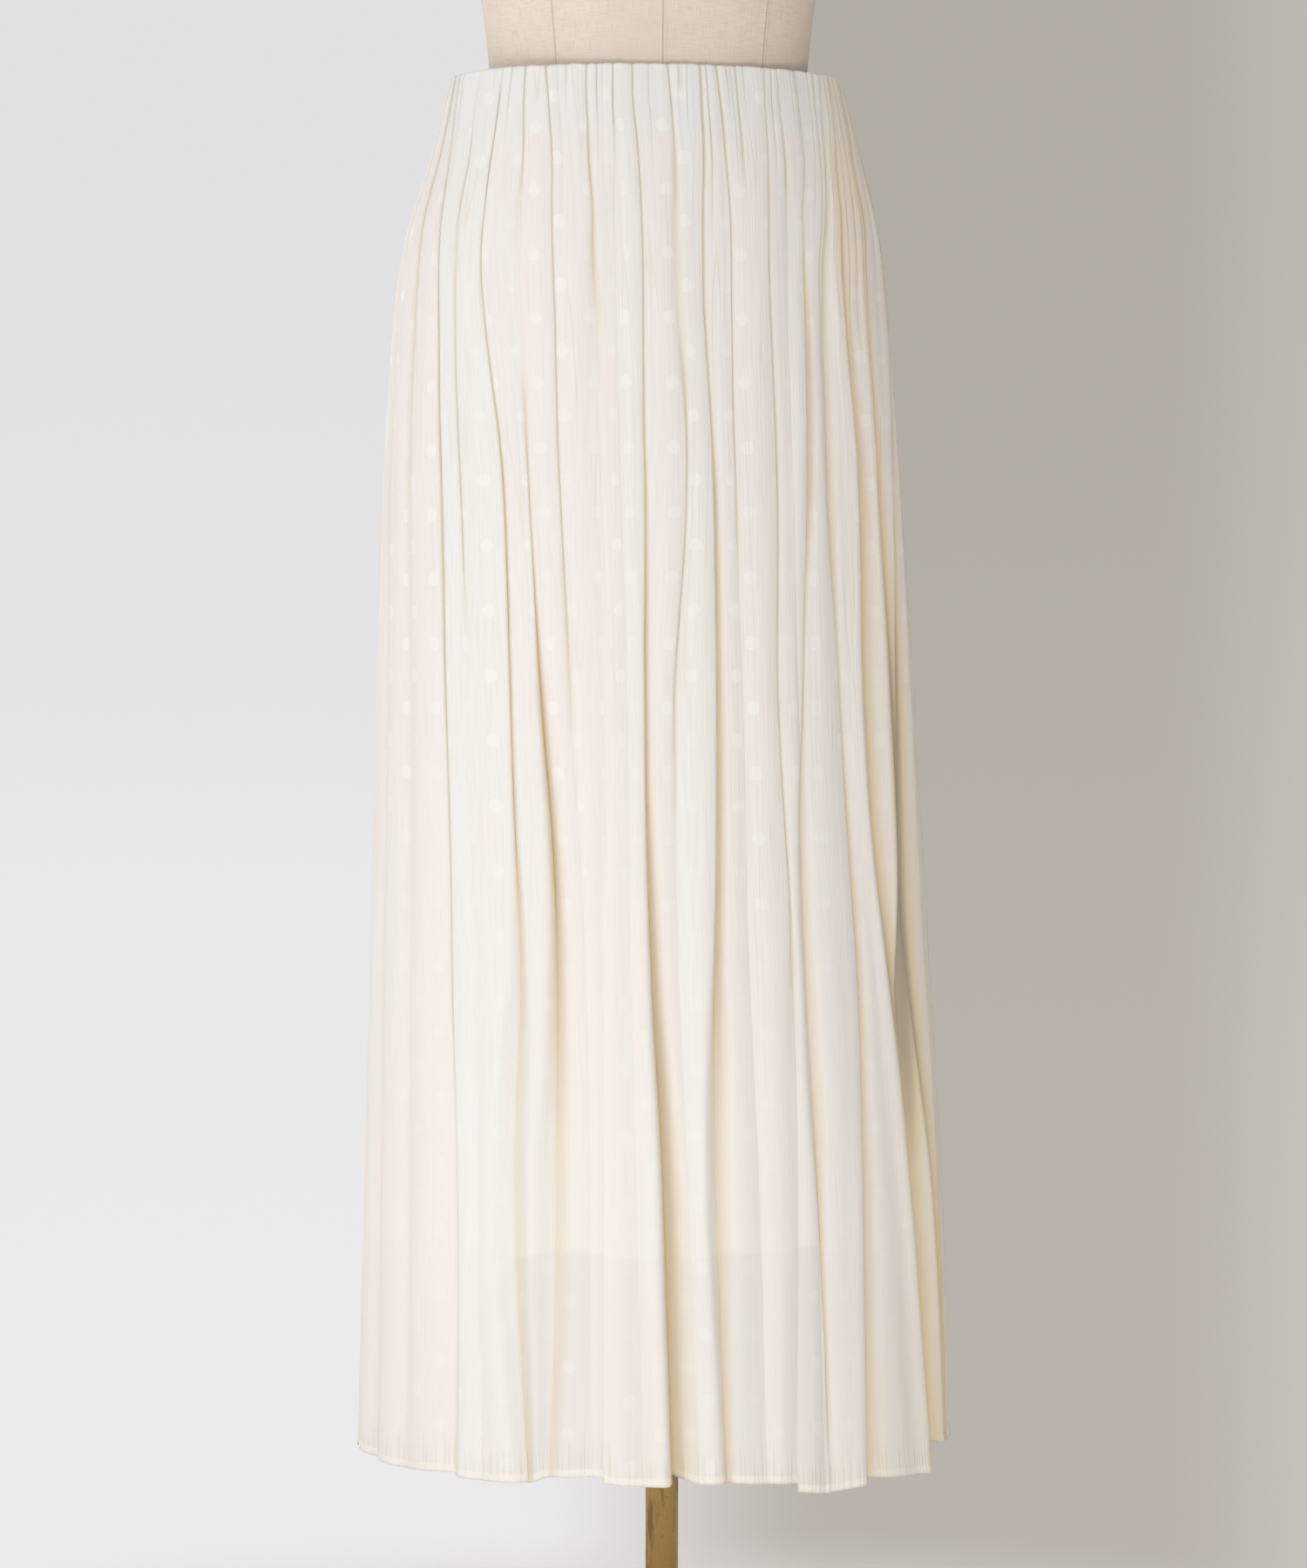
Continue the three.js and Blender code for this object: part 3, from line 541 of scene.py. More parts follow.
def fold_relief(folds, z, around):
    """Each fold drops at its left edge, lies on a floor painted in shade and climbs slowly to the right;
    a crisp edge leans over the floor beside a low crest. Returns height, lean to the right, the
    painted shade, deeper at the right side, and how far the cloth is pinched."""
    height, lean, painted_shade, painted_dark, pinch = (np.zeros_like(z) for _ in range(5))
    for k, fold in enumerate(folds):
        column = k * GRID_PER_PANEL
        deep, wide, crisp = fold_down(fold[2], z[:, column])
        at_side = fade(fold[0][2], 40, 55) * fade(fold[0][2], 140, 125)
        x = around - around[:, column, None]
        before, after = np.maximum(-x, 0), np.maximum(x, 0)
        steep = (LIP_STEEP + LIP_STEEP_PER_DEPTH * deep) * crisp + (wide + SOFT_REACH) * (1 - crisp)
        floor = np.exp(-(after / (wide + SOFT_REACH * (1 - crisp))) ** 2.4)
        climb = RISE_SHARE * crisp
        right_of_edge = (1 - climb) * floor + climb * np.exp(-after / RISE_REACH)
        height -= deep * np.where(x < 0, bell(before, steep), right_of_edge)
        crest_share = CREST_SHARE + SIDE_CREST_SHARE * at_side
        height += crest_share * deep * bell(before - steep - 4, 6.5) * (1 - bell(before, steep))
        firm = crisp * deep
        leaning = LIP_LEAN * np.minimum(firm / 2, 1) + 0.05 * firm
        lean += leaning * bell(before - 1.4 * steep, 2.4 * steep) * (x < 0)
        # Painted shade: golden over each floor and beside the edge of folds at the right side, with a thin
        # browner line at a crisp edge and a browner floor at the right side.
        reach = np.where(x < 0, 1.1 * steep * crisp + 0.01, wide + 0.3)
        on_floor = (0.4 + 0.6 * crisp) * (1 + 0.22 * at_side) * fade(deep, 0, 2.2)
        over_edge = SIDE_PAINTED_SHADE * at_side * fade(deep, 0, 3) * (x < 0)
        painted_shade = np.maximum.reduce([painted_shade, on_floor * bell(x, reach), over_edge * bell(before, 5)])
        thin_line = FRONT_PAINTED_DARK * crisp * fade(deep, 0, 3) * bell(x, 0.7)
        side_floor = at_side * fade(deep, 0, 2.8) * bell(x - 0.3 * wide, 0.4 * wide + 1.2)
        painted_dark = np.maximum.reduce([painted_dark, thin_line, side_floor])
        pinch += fade(deep, 0, 2) * bell(x, 2)
    return height, lean, painted_shade + PAINTED_DARK_SHARE * painted_dark, pinch


def fine_relief(around, z, above_hem, seed):
    """Gathers below the waist, creases, the turned hem's step and its puckers."""
    at_rim, at_hem = ((np.broadcast_to(around[k], z.shape), z, seed) for k in (0, -1))
    top = fade(z, 930, 1040)
    gather = top ** 1.3 * texture(GATHERS, *at_rim) - top ** 0.7 * texture(GATHER_LINES, *at_rim)
    strength = (0.35 + 0.65 * fade(z, 560, 890)) * np.clip((RIM_Z - z) / 90, 0.2, 1)
    crease = strength * texture(CREASES, *at_hem)
    hem = HEM_STEP * fade(above_hem, HEM_HEIGHT + 0.5, HEM_HEIGHT - 0.1)
    pucker = texture(HEM_PUCKER, *at_hem) * np.clip(1 - above_hem / 22, 0, 1)
    return gather + crease + hem + pucker


def roll_inside(points, out, dip):
    """The rings that turn the top edge over to the inside, from the inside up."""
    rings = []
    for inset, up in ROLL_OVER:
        ring = points[0].copy()
        ring[:, :2] -= out[0] * inset
        ring[:, 2] = RIM_Z + up - dip
        rings.append(ring)
    return np.array(rings)


def cloth_surface(true_folds, gathers, coolness, seed):
    """The outer face of one width of the skirt, rows from the inside of the rim to the hem. Returns
    the points, the cloth's own coordinates and the values that its material reads."""
    folds, true = with_gathers(true_folds, gathers)
    left, share = panel_columns(folds)
    panel = np.minimum(np.cumsum(true)[left] - 1, true.sum() - 2)
    places = np.array([fold[0] for fold in folds], float).T
    hang = np.array([fold[1] for fold in folds], float)
    drop = hang[left, 1] + (hang[left + 1, 0] - hang[left, 1]) * share
    z = rows_down(drop)
    above_hem = z - (HEM_Z - drop[None, :])
    from_left, to_right = (smooth(FOLD_Z, places[:, k], z) for k in (left, left + 1))
    degrees = wandered(from_left + (to_right - from_left) * share, z, seed)
    base, out, width, depth = section(z, degrees)
    radian = np.hypot(width * np.cos(np.radians(degrees)), depth * np.sin(np.radians(degrees)))
    around = lengths(base)
    height, lean, shade, pinch = fold_relief(folds, z, around)
    height = height + panel_swell(places[:, true], panel, z, degrees, radian)
    height = height + fine_relief(around, z, above_hem, seed)
    side = np.stack([-out[..., 1], out[..., 0]], -1)
    flat = base + out * height[..., None] + side * lean[..., None]
    dip = RIM_DIP * np.minimum(pinch[0], 1) + RIM_LOWER + texture(RIM_UNEVEN, around[0], z[0], seed)
    outside = np.concatenate([flat, (z - dip * np.exp(-(RIM_Z - z) / 15))[..., None]], -1)
    points = np.concatenate([roll_inside(outside, out, dip), outside])
    rolled = np.ones((len(ROLL_OVER), z.shape[1]))
    across = cloth_across(outside, panel)
    turned = np.linspace(-12, -2, len(ROLL_OVER))[:, None] * rolled
    # The values carried here include the painted fold shade, which the material lays into the folds as
    # golden and browner colour.
    return points, {"u": np.concatenate([rolled * across[0], across]),
                    "v": np.concatenate([turned, RIM_Z - z])}, {
        "above_hem": np.concatenate([(RIM_Z - HEM_Z) * rolled, above_hem]) * MM,
        "painted_fold_shade": np.concatenate([0 * rolled, shade]),
        "coolness": np.broadcast_to(np.array(coolness)[panel], points.shape[:2])}


def lengths(points):
    """Length along each row up to every point."""
    step = np.linalg.norm(np.diff(points, axis=1), axis=2)
    return np.concatenate([np.zeros((len(points), 1)), np.cumsum(step, 1)], 1)


def cloth_across(points, panel):
    """Cloth coordinate across: true length along each panel from its own middle; what a fold hides
    is taken up beside its groove."""
    length = lengths(points)
    starts = np.flatnonzero(np.diff(panel, prepend=-1))
    first, last = length[:, starts], length[:, np.append(starts[1:], len(panel) - 1)]
    wide = last - first
    widest = wide.max(0)
    middle = np.concatenate([[0], np.cumsum(widest)[:-1]]) + widest / 2
    local = length - (first[:, panel] + wide[:, panel] / 2)
    hidden = (widest - wide)[:, panel] / 2
    rest = wide[:, panel] / 2 - np.abs(local)
    return middle[panel] + local + np.sign(local) * hidden * np.exp(-np.maximum(rest, 0) / 1.6)


def grid_mesh(name, points, u=None, v=None, fields=None, ring=False, closed_ends=False):
    """A mesh of quads through a grid of points in mm, with a cloth UV map in metres and point
    attributes. Rows run down and columns to the right, so that faces point outwards."""
    rows, columns = points.shape[:2]
    index = np.arange(rows * columns).reshape(rows, columns)
    right = np.roll(index, -1, 1) if ring else index[:, 1:]
    here = index if ring else index[:, :-1]
    quads = np.stack([here[:-1], here[1:], right[1:], right[:-1]], -1).reshape(-1, 4)
    coordinates = points.reshape(-1, 3) * MM
    faces = [tuple(q) for q in quads.tolist()]
    if closed_ends:
        faces.append(tuple(index[0].tolist()))
        faces.append(tuple(index[-1][::-1].tolist()))
    mesh = bpy.data.meshes.new(name)
    mesh.from_pydata(coordinates.tolist(), [], faces)
    mesh.polygons.foreach_set("use_smooth", np.ones(len(mesh.polygons), bool))
    corners = np.empty(len(mesh.loops), np.int32)
    mesh.loops.foreach_get("vertex_index", corners)
    if u is not None:
        layer = mesh.uv_layers.new(name="cloth")
        flat = np.stack([u.ravel(), v.ravel()], 1)[corners] * MM
        layer.uv.foreach_set("vector", flat.astype(np.float32).ravel())
    for field, values in (fields or {}).items():
        made = mesh.attributes.new(field, "FLOAT", "POINT")
        made.data.foreach_set("value", values.ravel().astype(np.float32))
    piece = bpy.data.objects.new(name, mesh)
    bpy.context.collection.objects.link(piece)
    return piece


def wall(piece, thick):
    """Gives a sheet its thickness, inwards."""
    made = piece.modifiers.new("wall", "SOLIDIFY")
    made.thickness = thick * MM
    made.offset = -1
    made.use_even_offset = False


def principled(name, **values):
    """A material with its Principled shader's constant values set."""
    material = bpy.data.materials.new(name)
    material.use_nodes = True
    shader = material.node_tree.nodes["Principled BSDF"]
    for key, value in values.items():
        shader.inputs[key.replace("_", " ")].default_value = value
    return material, material.node_tree, shader


def dot_mask(tree, cloth):
    """Satin dots in a half-drop lattice of the cloth's own coordinates: 1 inside a dot."""
    column = sums(tree, "DIVIDE", cloth[0], DOT_COLUMN * MM)
    number = sums(tree, "ROUND", column)
    drop = times(tree, sums(tree, "FLOORED_MODULO", number, 2.0), 0.5)
    row = sums(tree, "ADD", sums(tree, "DIVIDE", cloth[1], DOT_REPEAT * MM), drop)
    x = times(tree, sums(tree, "SUBTRACT", column, number), DOT_COLUMN)
    y = times(tree, sums(tree, "SUBTRACT", row, sums(tree, "ROUND", row)), DOT_REPEAT)
    squares = sums(tree, "ADD", times(tree, x, x), times(tree, y, y))
    return rise(tree, sums(tree, "SQRT", squares), DOT_RADIUS + 0.35, DOT_RADIUS - 0.45)


def cloth_coordinates(tree):
    """Across and down the cloth in metres, from its own map."""
    uv = add_node(tree, "UVMap", uv_map="cloth").outputs["UV"]
    parts = add_node(tree, "SeparateXYZ", {0: uv})
    return parts.outputs["X"], parts.outputs["Y"]


def streaks(tree, cloth, across_scale, down_scale, detail=2.0):
    """Noise drawn out along the cloth's length."""
    stretched = add_node(tree, "CombineXYZ", {
        "X": times(tree, cloth[0], across_scale), "Y": times(tree, cloth[1], down_scale)})
    made = add_node(tree, "TexNoise", {
        "Vector": stretched.outputs[0], "Scale": 1.0, "Detail": detail}, noise_dimensions="2D")
    return made.outputs["Fac"]


def place_of(tree):
    """Where a point lies in the shared frame."""
    return add_node(tree, "TexCoord").outputs["Object"]


def clouds(tree, place, scale, detail, rough=0.5):
    """Noise in the round."""
    made = add_node(tree, "TexNoise", {
        "Vector": place, "Scale": scale, "Detail": detail, "Roughness": rough})
    return made.outputs["Fac"]


def carried(tree, name):
    """A value that the mesh carries at each point."""
    return add_node(tree, "Attribute", attribute_name=name).outputs["Fac"]


def raised(tree, shader, relief, strength, distance):
    """Turns a relief into bumps of the surface."""
    made = add_node(tree, "Bump", {"Height": relief, "Strength": strength, "Distance": distance})
    tree.links.new(made.outputs[0], shader.inputs["Normal"])


def skirt_material():
    """Cream crinkle: a tone that varies between warm and cool in long streaks, smoother and lighter
    dots, a whiter double band at the waist, a paler hem with painted shade in its puckers, painted
    shade of the hollow below the lining's hem, golden and browner painted shade in the folds, and
    fine crease lines with painted shade."""
    material, tree, shader = principled("crinkled_dot_cloth", Roughness=0.6, Sheen_Weight=0.12,
                                        Sheen_Roughness=0.4, Specular_IOR_Level=0.28)
    cloth = cloth_coordinates(tree)
    down = cloth[1]
    shown = scaled(tree, rise(tree, streaks(tree, cloth, 20, 5, 1.0), 0.35, 0.62), 0.65, 0.35)
    shown = times(tree, shown, scaled(tree, rise(tree, down, 0.62, 0.38), 0.6, 0.4))
    dots = times(tree, dot_mask(tree, cloth), shown)
    wide = streaks(tree, cloth, 55, 3)
    fine = streaks(tree, cloth, 700, 24, 3.0)
    cool = carried(tree, "coolness")
    patchy = sums(tree, "ADD", times(tree, cool, 0.75), scaled(tree, wide, 1.0, -0.37))
    tone = ramp(tree, patchy, [(0.2, (0.887, 0.838, 0.803, 1)), (0.8, (0.874, 0.860, 0.832, 1))])
    calm = scaled(tree, rise(tree, down, 0.35, 0.7), -0.3, 0.6)
    uneven = rise(tree, fine, 0.35, 0.75)
    double = rise(tree, down, (RIM_Z - FACING_LOW_Z + 9) * MM, (RIM_Z - FACING_LOW_Z - 9) * MM)
    place = add_node(tree, "SeparateXYZ", {0: place_of(tree)}).outputs
    # Painted shade of the hollow inside, which shows through the cloth below the lining's hem: a soft fall
    # all round, and an edge that is sharper near the middle of the front.
    sway = scaled(tree, streaks(tree, cloth, 18, 0, 0.0), 0.012, place["Z"])
    hollow_shade_edge = rise(tree, sway, (LINING_HEM_Z + 7.5) * MM, (LINING_HEM_Z + 4.5) * MM)
    close = rise(tree, streaks(tree, cloth, 26, 0, 1.0), 0.4, 0.62)
    middle = rise(tree, sums(tree, "ABSOLUTE", place["X"]), 0.14, 0.08)
    close = times(tree, middle, scaled(tree, close, 0.6, 0.16))
    hollow_shade_soft = rise(tree, sway, (LINING_HEM_Z + 22) * MM, (LINING_HEM_Z - 34) * MM)
    hem = carried(tree, "above_hem")
    turned_up = rise(tree, hem, (HEM_HEIGHT + 0.8) * MM, HEM_HEIGHT * MM)
    # Painted shade in the hem's puckers as a browner tone; the same mask also sinks them as bumps.
    reach = times(tree, streaks(tree, cloth, 330, 0, 2.0), 0.045)
    pucker = times(tree, rise(tree, sums(tree, "SUBTRACT", hem, reach), 0.0, -0.016),
                  rise(tree, streaks(tree, cloth, 420, 0, 1.0), 0.5, 0.62))
    # Painted shade in the folds: golden as the carried fold shade rises to 1, and a deep brown where it
    # goes on towards 2.
    fold = carried(tree, "painted_fold_shade")
    painted_shade, painted_deepest = sums(tree, "MINIMUM", fold, 1.0), rise(tree, fold, 0.95, 2.0)
    # Fine crease lines, weaker further down: painted shade in a tan tone, and also sunk as bumps.
    crossing = sums(tree, "ABSOLUTE", sums(tree, "SUBTRACT", streaks(tree, cloth, 100, 4, 0.0), 0.5))
    where = rise(tree, streaks(tree, cloth, 38, 7, 1.0), 0.47, 0.66)
    line = times(tree, rise(tree, crossing, 0.022, 0.002), where)
    upper = rise(tree, down, 0.75, 0.0)
    line = times(tree, line, scaled(tree, upper, 0.8, 0.2))
    # Colours laid over the tone: crinkle, the double band, painted shade of the hollow below the lining's
    # hem, painted shade in the hem's puckers, the paler hem, the dots, golden and deep brown painted shade
    # in the folds, and painted shade in the crease lines.
    for mask, share, colour in (
            (uneven, calm, (0.84, 0.79, 0.735, 1)), (double, 0.75, (0.84, 0.838, 0.823, 1)),
            (hollow_shade_soft, 0.16, (0.80, 0.765, 0.725, 1)), (hollow_shade_edge, close, (0.79, 0.765, 0.735, 1)),
            (pucker, 0.5, (0.76, 0.69, 0.58, 1)), (turned_up, 0.8, (0.91, 0.88, 0.81, 1)),
            (dots, 0.62, (0.93, 0.92, 0.88, 1)), (painted_shade, 0.88, (0.81, 0.685, 0.455, 1)),
            (painted_deepest, 1.0, (0.44, 0.38, 0.27, 1)), (line, 0.3, (0.80, 0.69, 0.52, 1))):
        tone = blended(tree, times(tree, mask, share), tone, colour)
    tree.links.new(tone, shader.inputs["Base Color"])
    rough = scaled(tree, dots, -0.24, 0.6)
    tree.links.new(rough, shader.inputs["Roughness"])
    crinkle = times(tree, sums(tree, "ADD", fine, streaks(tree, cloth, 430, 16, 2.0)),
                   times(tree, calm, 1.6))
    relief = scaled(tree, dots, -0.35, scaled(tree, line, -1.0, crinkle))
    relief = scaled(tree, pucker, -1.2, relief)
    raised(tree, shader, relief, 0.42, 0.0005)
    through = add_node(tree, "BsdfTranslucent", {"Color": (0.86, 0.78, 0.68, 1)})
    mix = add_node(tree, "MixShader", {0: 0.2, 1: shader.outputs[0], 2: through.outputs[0]})
    tree.links.new(mix.outputs[0], tree.nodes["Material Output"].inputs["Surface"])
    return material


skirt_cloth = skirt_material()
back_rows = [FRONT_FOLDS[-1]] + back_folds() + [((270,) * 7, FRONT_FOLDS[0][1], FLAT)]
back_coolness = [0.35 + 0.3 * math.sin(2.7 * k) for k in range(BACK_FOLDS + 1)]
for name, node, folds, gathers, coolness, seed in (
        ("front_panel", "skirt_front", FRONT_FOLDS, FRONT_GATHERS, PANEL_COOLNESS, 11),
        ("back_panel", "skirt_back", back_rows, back_gathers(), back_coolness, 41)):
    points, lay, fields = cloth_surface(folds, gathers, coolness, seed)
    panel = grid_mesh(name, points, lay["u"], lay["v"], fields)
    wall(panel, CLOTH_THICK)
    panel.data.materials.append(skirt_cloth)
    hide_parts(node)
    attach(panel, "root")


# Waist facing.
# The skirt's own top turned to the inside, the inner wall of the elastic's casing, gathered with
# the skirt and stitched along its lower edge.
FACING_INSET_TOP = 5.4
FACING_INSET_LOW = 7.6
FACING_THICK = 0.6


def facing_surface():
    """A band inside the skirt's section with small gathers that run from edge to edge."""
    z = np.linspace(RIM_Z - 4, FACING_LOW_Z, 14)[:, None] + np.zeros((1, 420))
    degrees = np.linspace(-90, 270, 420, endpoint=False)[None, :] + 0 * z
    down = (RIM_Z - z) / (RIM_Z - FACING_LOW_Z)
    inset = FACING_INSET_TOP + (FACING_INSET_LOW - FACING_INSET_TOP) * down
    base, out, width, depth = section(z, degrees, inset)
    phase = np.radians(degrees)
    wave = 0.16 * np.sin(96 * phase + 2 * np.sin(5 * phase)) + 0.1 * np.sin(61 * phase)
    flat = base + out * (wave - 0.3)[..., None]
    return np.concatenate([flat, z[..., None]], -1), degrees * 1.9, RIM_Z - z


points, u, v = facing_surface()
facing = grid_mesh("waist_band_facing", points, u, v,
                   {"above_hem": 0 * u + 0.5, "painted_fold_shade": 0 * u, "coolness": 0 * u + 0.4}, ring=True)
wall(facing, FACING_THICK)
facing.data.materials.append(skirt_cloth)
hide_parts("waist_facing")
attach(facing, "root")


# Lining front and back.
# Plain smooth ivory lining, shorter than the skirt, seamed at the sides, hung from the casing's
# lower edge, with a narrow turned hem.
LINING_INSET_Z = [1006, 930, 800, 500, 318]
LINING_INSET = [7.4, 9.2, 12.7, 13.2, 14.2]
LINING_THICK = 0.4
LINING_HEM_HEIGHT = 12.0
LINING_WAVES = 9
LINING_WAVE = 1.6


def lining_surface(start):
    """Half of a tube inside the skirt's section with slack waves that grow towards the hem, as
    even cosines, with small uneven ones between them."""
    z = np.linspace(FACING_LOW_Z - 0.3, LINING_HEM_Z, 90)[:, None] + np.zeros((1, 180))
    degrees = start + 0.15 + np.linspace(0, 179.7, 180)[None, :] + 0 * z
    fallen = (FACING_LOW_Z - z) / (FACING_LOW_Z - LINING_HEM_Z)
    slack = LINING_WAVE * (1 - np.cos(np.radians(2 * LINING_WAVES * degrees))) * fallen
    slack = slack + 0.5 * fallen * (1 + grain(degrees, z, 3, 200, 70))
    base, out, width, depth = section(z, degrees, smooth(LINING_INSET_Z, LINING_INSET, z) + slack)
    return np.concatenate([base, z[..., None]], -1), degrees * 2.9, RIM_Z - z, z - LINING_HEM_Z


def lining_material():
    """Smooth ivory taffeta: a fine rib across and a line of stitches over the hem."""
    material, tree, shader = principled("plain_lining", Roughness=0.45, Sheen_Weight=0.1,
                                        Sheen_Roughness=0.4, Specular_IOR_Level=0.35)
    cloth = cloth_coordinates(tree)
    cloudy = streaks(tree, cloth, 40, 9)
    tone = ramp(tree, cloudy, [(0.3, (0.86, 0.83, 0.78, 1)), (0.7, (0.90, 0.875, 0.83, 1))])
    hem = carried(tree, "above_hem")
    near = sums(tree, "ABSOLUTE", sums(tree, "SUBTRACT", hem, LINING_HEM_HEIGHT * MM))
    stitch = rise(tree, near, 0.0009, 0.0004)
    tree.links.new(blended(tree, times(tree, stitch, 0.4), tone, (0.62, 0.58, 0.52, 1)),
                   shader.inputs["Base Color"])
    rib = streaks(tree, cloth, 300, 1400, 1.0)
    raised(tree, shader, rib, 0.25, 0.0003)
    return material


plain_lining = lining_material()
for name, node, start in (
        ("lining_front_panel", "lining_front", -90), ("lining_back_panel", "lining_back", 90)):
    points, u, v, above_hem = lining_surface(start)
    panel = grid_mesh(name, points, u, v, {"above_hem": above_hem * MM})
    wall(panel, LINING_THICK)
    panel.data.materials.append(plain_lining)
    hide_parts(node)
    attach(panel, "root")


# Torso of the dress form.
# A hollow limbless shell covered with natural linen, seamed down the middle of the front and back,
# over the bust, at the sides and over the back, and closed with a plain plate at the neck.
TORSO = np.array([
    (1478, 52, 53, -9, 6, 2), (1442, 54, 56, -9, 6, 2), (1420, 72, 62, -9, 7, 2.05),
    (1402, 108, 69, -9, 8, 2.2), (1384, 144, 76, -9, 8, 2.4), (1360, 165, 85, -9, 7, 2.6),
    (1325, 170, 94, -9, 4, 2.6), (1285, 165, 104, -9, 0, 2.5), (1245, 156, 110, -9, -4, 2.35),
    (1205, 141, 106, -9, -3, 2.2), (1160, 122, 95, -8.5, -1, 2.1), (1110, 108.5, 86, -8.5, 0, 2.05),
    (1060, 101.8, 81.4, -8.5, 0, 2), (1030, 101, 81, -8.5, 0, 2), (1000, 105, 84, -8.5, 2, 2),
    (960, 120, 93, -9, 5, 2), (910, 138, 103, -10, 7, 2), (860, 146, 108, -11, 8, 2.05),
    (815, 145, 107, -11, 8, 2.1), (795, 139, 102, -10, 7, 2.1), (788, 130, 95, -10, 7, 2.1),
])
TORSO_SEAMS = (-180, -140, -90, -40, 0, 40, 90, 140)


def torso_surface(levels, degrees):
    """Superellipse sections, joined by a smooth curve through the table by height."""
    z = levels[:, None] + 0 * degrees[None, :]
    width, depth, right, back, square = (smooth(TORSO[:, 0], TORSO[:, k], z) for k in range(1, 6))
    s, c = np.sin(np.radians(degrees))[None, :], np.cos(np.radians(degrees))[None, :]
    x = right + width * np.sign(s) * np.abs(s) ** (2 / square)
    y = back - depth * np.sign(c) * np.abs(c) ** (2 / square)
    return np.stack([x, y, z], -1)


def seam_distance(points, degrees):
    """Distance along the section from the nearest seam."""
    length = lengths(np.concatenate([points, points[:, :1]], 1))
    total = length[:, -1:]
    length = length[:, :-1]
    nearest = np.full_like(length, 1e3)
    for seam in TORSO_SEAMS:
        k = int(np.argmin(np.abs((degrees - seam + 180) % 360 - 180)))
        away = np.abs(length - length[:, k:k + 1])
        nearest = np.minimum(nearest, np.minimum(away, total - away))
    return nearest


def linen_material():
    """Natural linen: crossed yarns of uneven thickness, slubs, and seams pressed flat with a fine
    shadow line and a raised edge on both sides."""
    material, tree, shader = principled("natural_linen", Roughness=0.88, Sheen_Weight=0.15,
                                        Sheen_Roughness=0.5, Specular_IOR_Level=0.2)
    place = place_of(tree)
    cloth = cloth_coordinates(tree)
    warp = streaks(tree, cloth, 1500, 90, 1.0)
    weft = streaks(tree, cloth, 90, 1500, 1.0)
    cloud = clouds(tree, place, 14.0, 3.0)
    weave = sums(tree, "ADD", warp, weft)
    tone = ramp(tree, cloud, [(0.3, (0.66, 0.567, 0.474, 1)), (0.7, (0.72, 0.63, 0.537, 1))])
    tone = blended(tree, rise(tree, weave, 0.85, 1.35), tone, (0.64, 0.54, 0.44, 1))
    seam = carried(tree, "seam")
    line = rise(tree, seam, 0.0007, 0.0002)
    tone = blended(tree, times(tree, line, 0.55), tone, (0.42, 0.33, 0.25, 1))
    tree.links.new(tone, shader.inputs["Base Color"])
    edge = times(tree, rise(tree, seam, 0.0035, 0.0008), 1.6)
    relief = sums(tree, "ADD", weave, scaled(tree, line, -2.4, edge))
    raised(tree, shader, relief, 0.45, 0.0004)
    return material


natural_linen = linen_material()
torso_degrees = np.linspace(-90, 270, 216, endpoint=False)
torso_levels = np.concatenate([np.linspace(1478, 1030, 110), np.linspace(1026, 788, 50)])
torso_points = torso_surface(torso_levels, torso_degrees)
torso = grid_mesh("torso_cover", torso_points, torso_degrees[None, :] * 1.8 + 0 * torso_points[..., 2],
                  1478 - torso_points[..., 2], {"seam": seam_distance(torso_points, torso_degrees) * MM},
                  ring=True, closed_ends=True)
torso.data.materials.append(natural_linen)
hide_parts("form_torso")
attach(torso, "root")


# Neck plate.
# A flat board covered with the same linen that closes the neck, with a rounded edge.
# Rings of its rounded edge: height over the neck and how far it reaches past the neck, in mm.
PLATE_RINGS = [(7, -20), (7, -3), (6.6, -0.9), (5.5, 1.4), (4, 2.6), (3, 3), (1.6, 2.8),
               (0.4, 1.8), (0, 0.5)]


def plate_surface():
    """The neck's section, moved out and lifted by each ring of the plate's rounded edge."""
    rings = []
    for up, out in PLATE_RINGS:
        ring = torso_surface(TORSO[:1, 0], torso_degrees)[0]
        centre = np.array([TORSO[0, 3], TORSO[0, 4], 0])
        scale = 1 + out / TORSO[0, 1]
        ring = centre + (ring - centre) * np.array([scale, scale, 1])
        ring[:, 2] = TORSO[0, 0] + 0.3 + up
        rings.append(ring)
    return np.array(rings)


plate_points = plate_surface()
plate = grid_mesh("neck_plate", plate_points, plate_points[..., 0], plate_points[..., 1],
                  {"seam": 0 * plate_points[..., 0] + 0.1}, ring=True, closed_ends=True)
plate.data.materials.append(natural_linen)
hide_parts("form_neck_plate")
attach(plate, "root")


# Pole, flange and base.
# A brass tube with an old dull patina, a turned flange that screws under the torso, and a heavy
# round base with a hub that takes the tube.
POLE_RADIUS = 10.4
TURNED_SIDES = 128


def turned_body(name, profile):
    """A profile of radius and height turned about the pole's axis, listed from the top down on the
    outside and closed on itself."""
    profile = np.array(profile, float)
    angle = np.linspace(-np.pi, np.pi, TURNED_SIDES, endpoint=False)[None, :]
    radius, z = profile[:, 0, None], profile[:, 1, None] + 0 * angle
    points = np.stack([radius * np.sin(angle), -radius * np.cos(angle), z], -1)
    return grid_mesh(name, points, ring=True, closed_ends=True)


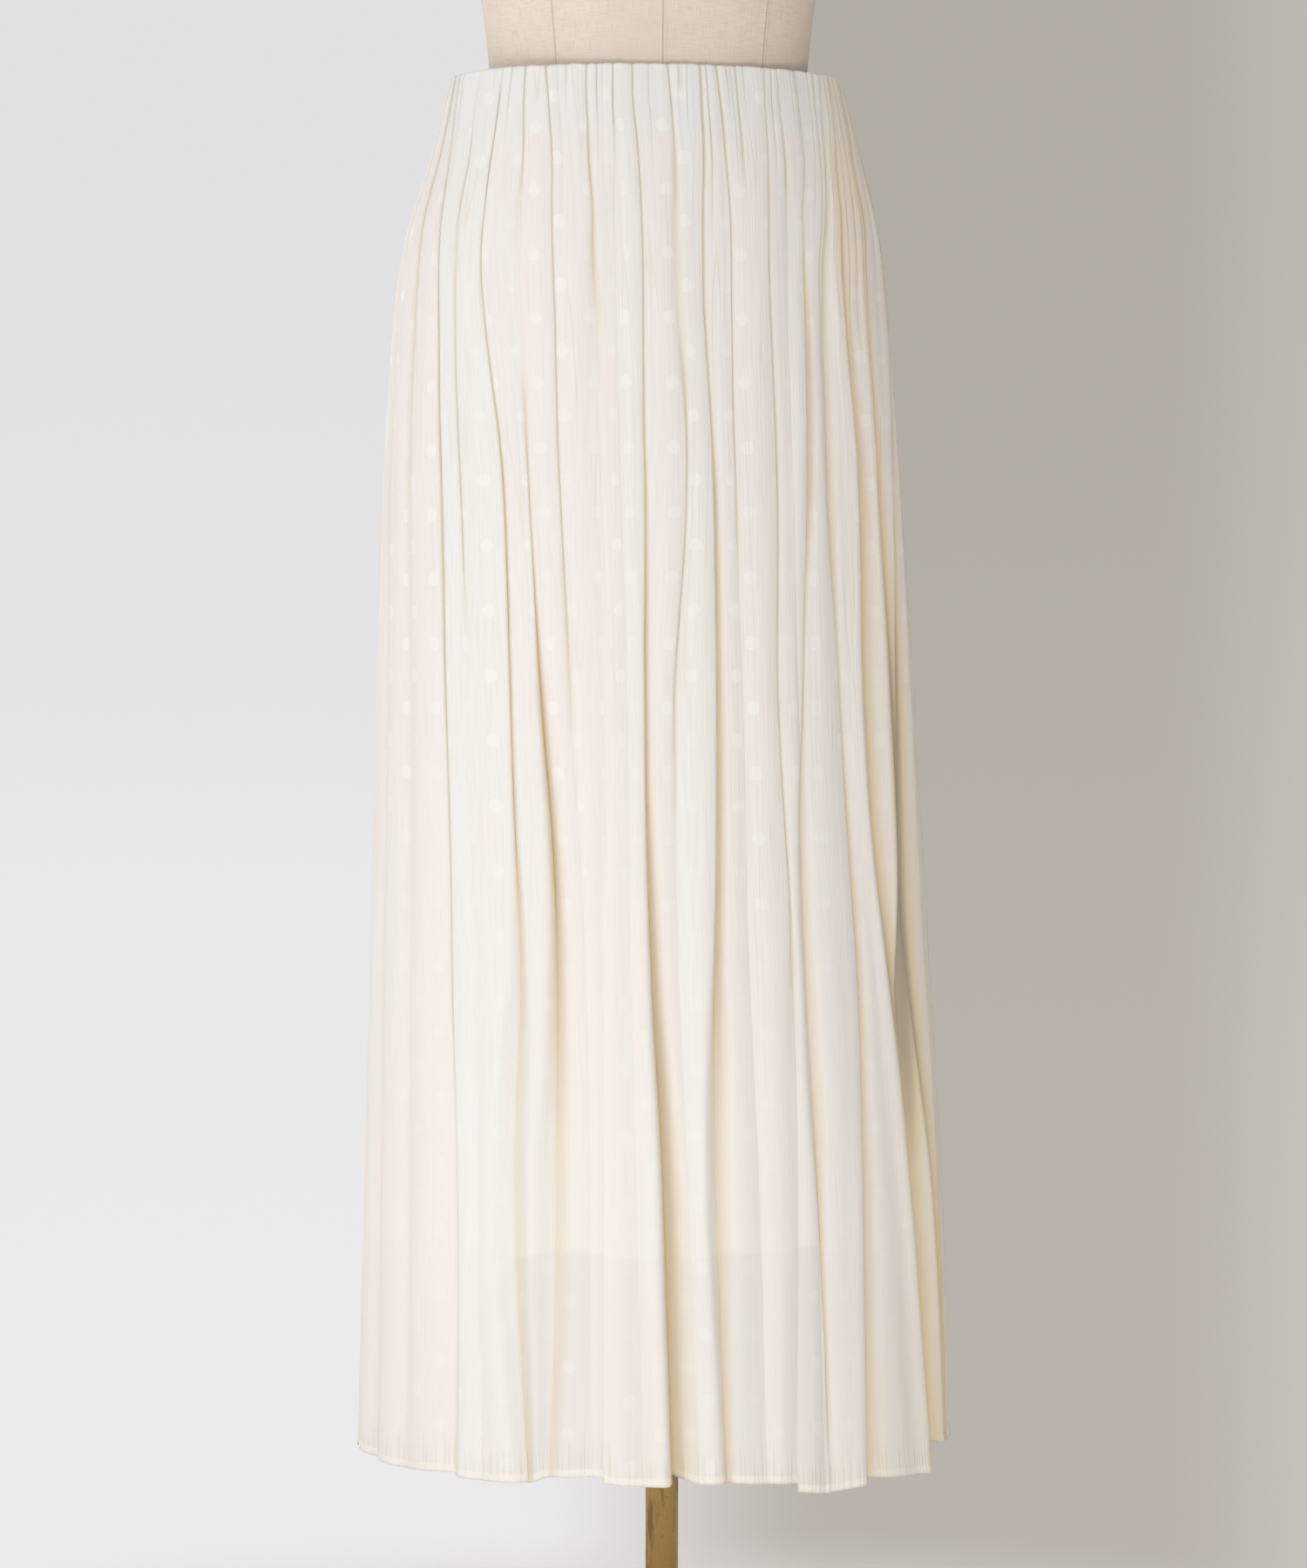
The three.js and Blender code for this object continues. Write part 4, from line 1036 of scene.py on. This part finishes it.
def brass_material(name, bright, worn, roughness):
    """Aged brass: a bright metal under brown patina in long streaks and specks."""
    material, tree, shader = principled(name, Metallic=0.5, Roughness=roughness)
    place = place_of(tree)
    drawn = add_node(tree, "Mapping", {"Vector": place, "Scale": (1.0, 1.0, 0.16)}).outputs[0]
    patches = clouds(tree, drawn, 90.0, 6.0, 0.7)
    specks = rise(tree, clouds(tree, place, 420.0, 4.0), 0.62, 0.7)
    brown = sums(tree, "MAXIMUM", rise(tree, patches, 0.5, 0.62), specks)
    tree.links.new(blended(tree, brown, bright, worn), shader.inputs["Base Color"])
    tree.links.new(scaled(tree, brown, 0.25, roughness), shader.inputs["Roughness"])
    raised(tree, shader, patches, 0.15, 0.0003)
    return material


aged_brass = brass_material("aged_brass", (0.46, 0.295, 0.105, 1), (0.26, 0.163, 0.06, 1), 0.38)
base_bronze = brass_material("base_bronze", (0.36, 0.243, 0.118, 1), (0.315, 0.208, 0.1, 1), 0.5)
pole = turned_body("pole_tube", [(POLE_RADIUS - 0.6, 787.7), (POLE_RADIUS, 787.1), (POLE_RADIUS, 400),
                                 (POLE_RADIUS, 14.9), (POLE_RADIUS - 0.6, 14.3)])
flange_top = 787.7
flange = turned_body("pole_flange", [
    (POLE_RADIUS + 0.3, flange_top), (33.4, flange_top), (34, flange_top - 0.6), (34, flange_top - 3.4),
    (33.4, flange_top - 4), (17.5, flange_top - 4.2), (16, flange_top - 5.6), (16, flange_top - 21.2),
    (15.4, flange_top - 22), (POLE_RADIUS + 0.3, flange_top - 22)])
base = turned_body("base_disc", [
    (19 - 2, 44), (19 - 0.6, 43.2), (19, 41.6), (19, 22), (19.6, 19.6), (21.4, 17.4), (24.4, 15.6),
    (28, 14), (60, 12.9), (120, 10.7), (165, 9.1), (167.5, 9), (169.2, 8.2), (170, 6.5), (170, 2.5),
    (169.2, 0.8), (167.5, 0)])
for piece, node, slot, metal in ((pole, "form_pole", "pole_brass", aged_brass),
                                 (flange, "form_flange", "pole_brass", aged_brass),
                                 (base, "form_base", "base_metal", base_bronze)):
    piece.data.materials.append(metal)
    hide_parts(node)
    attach(piece, "root")
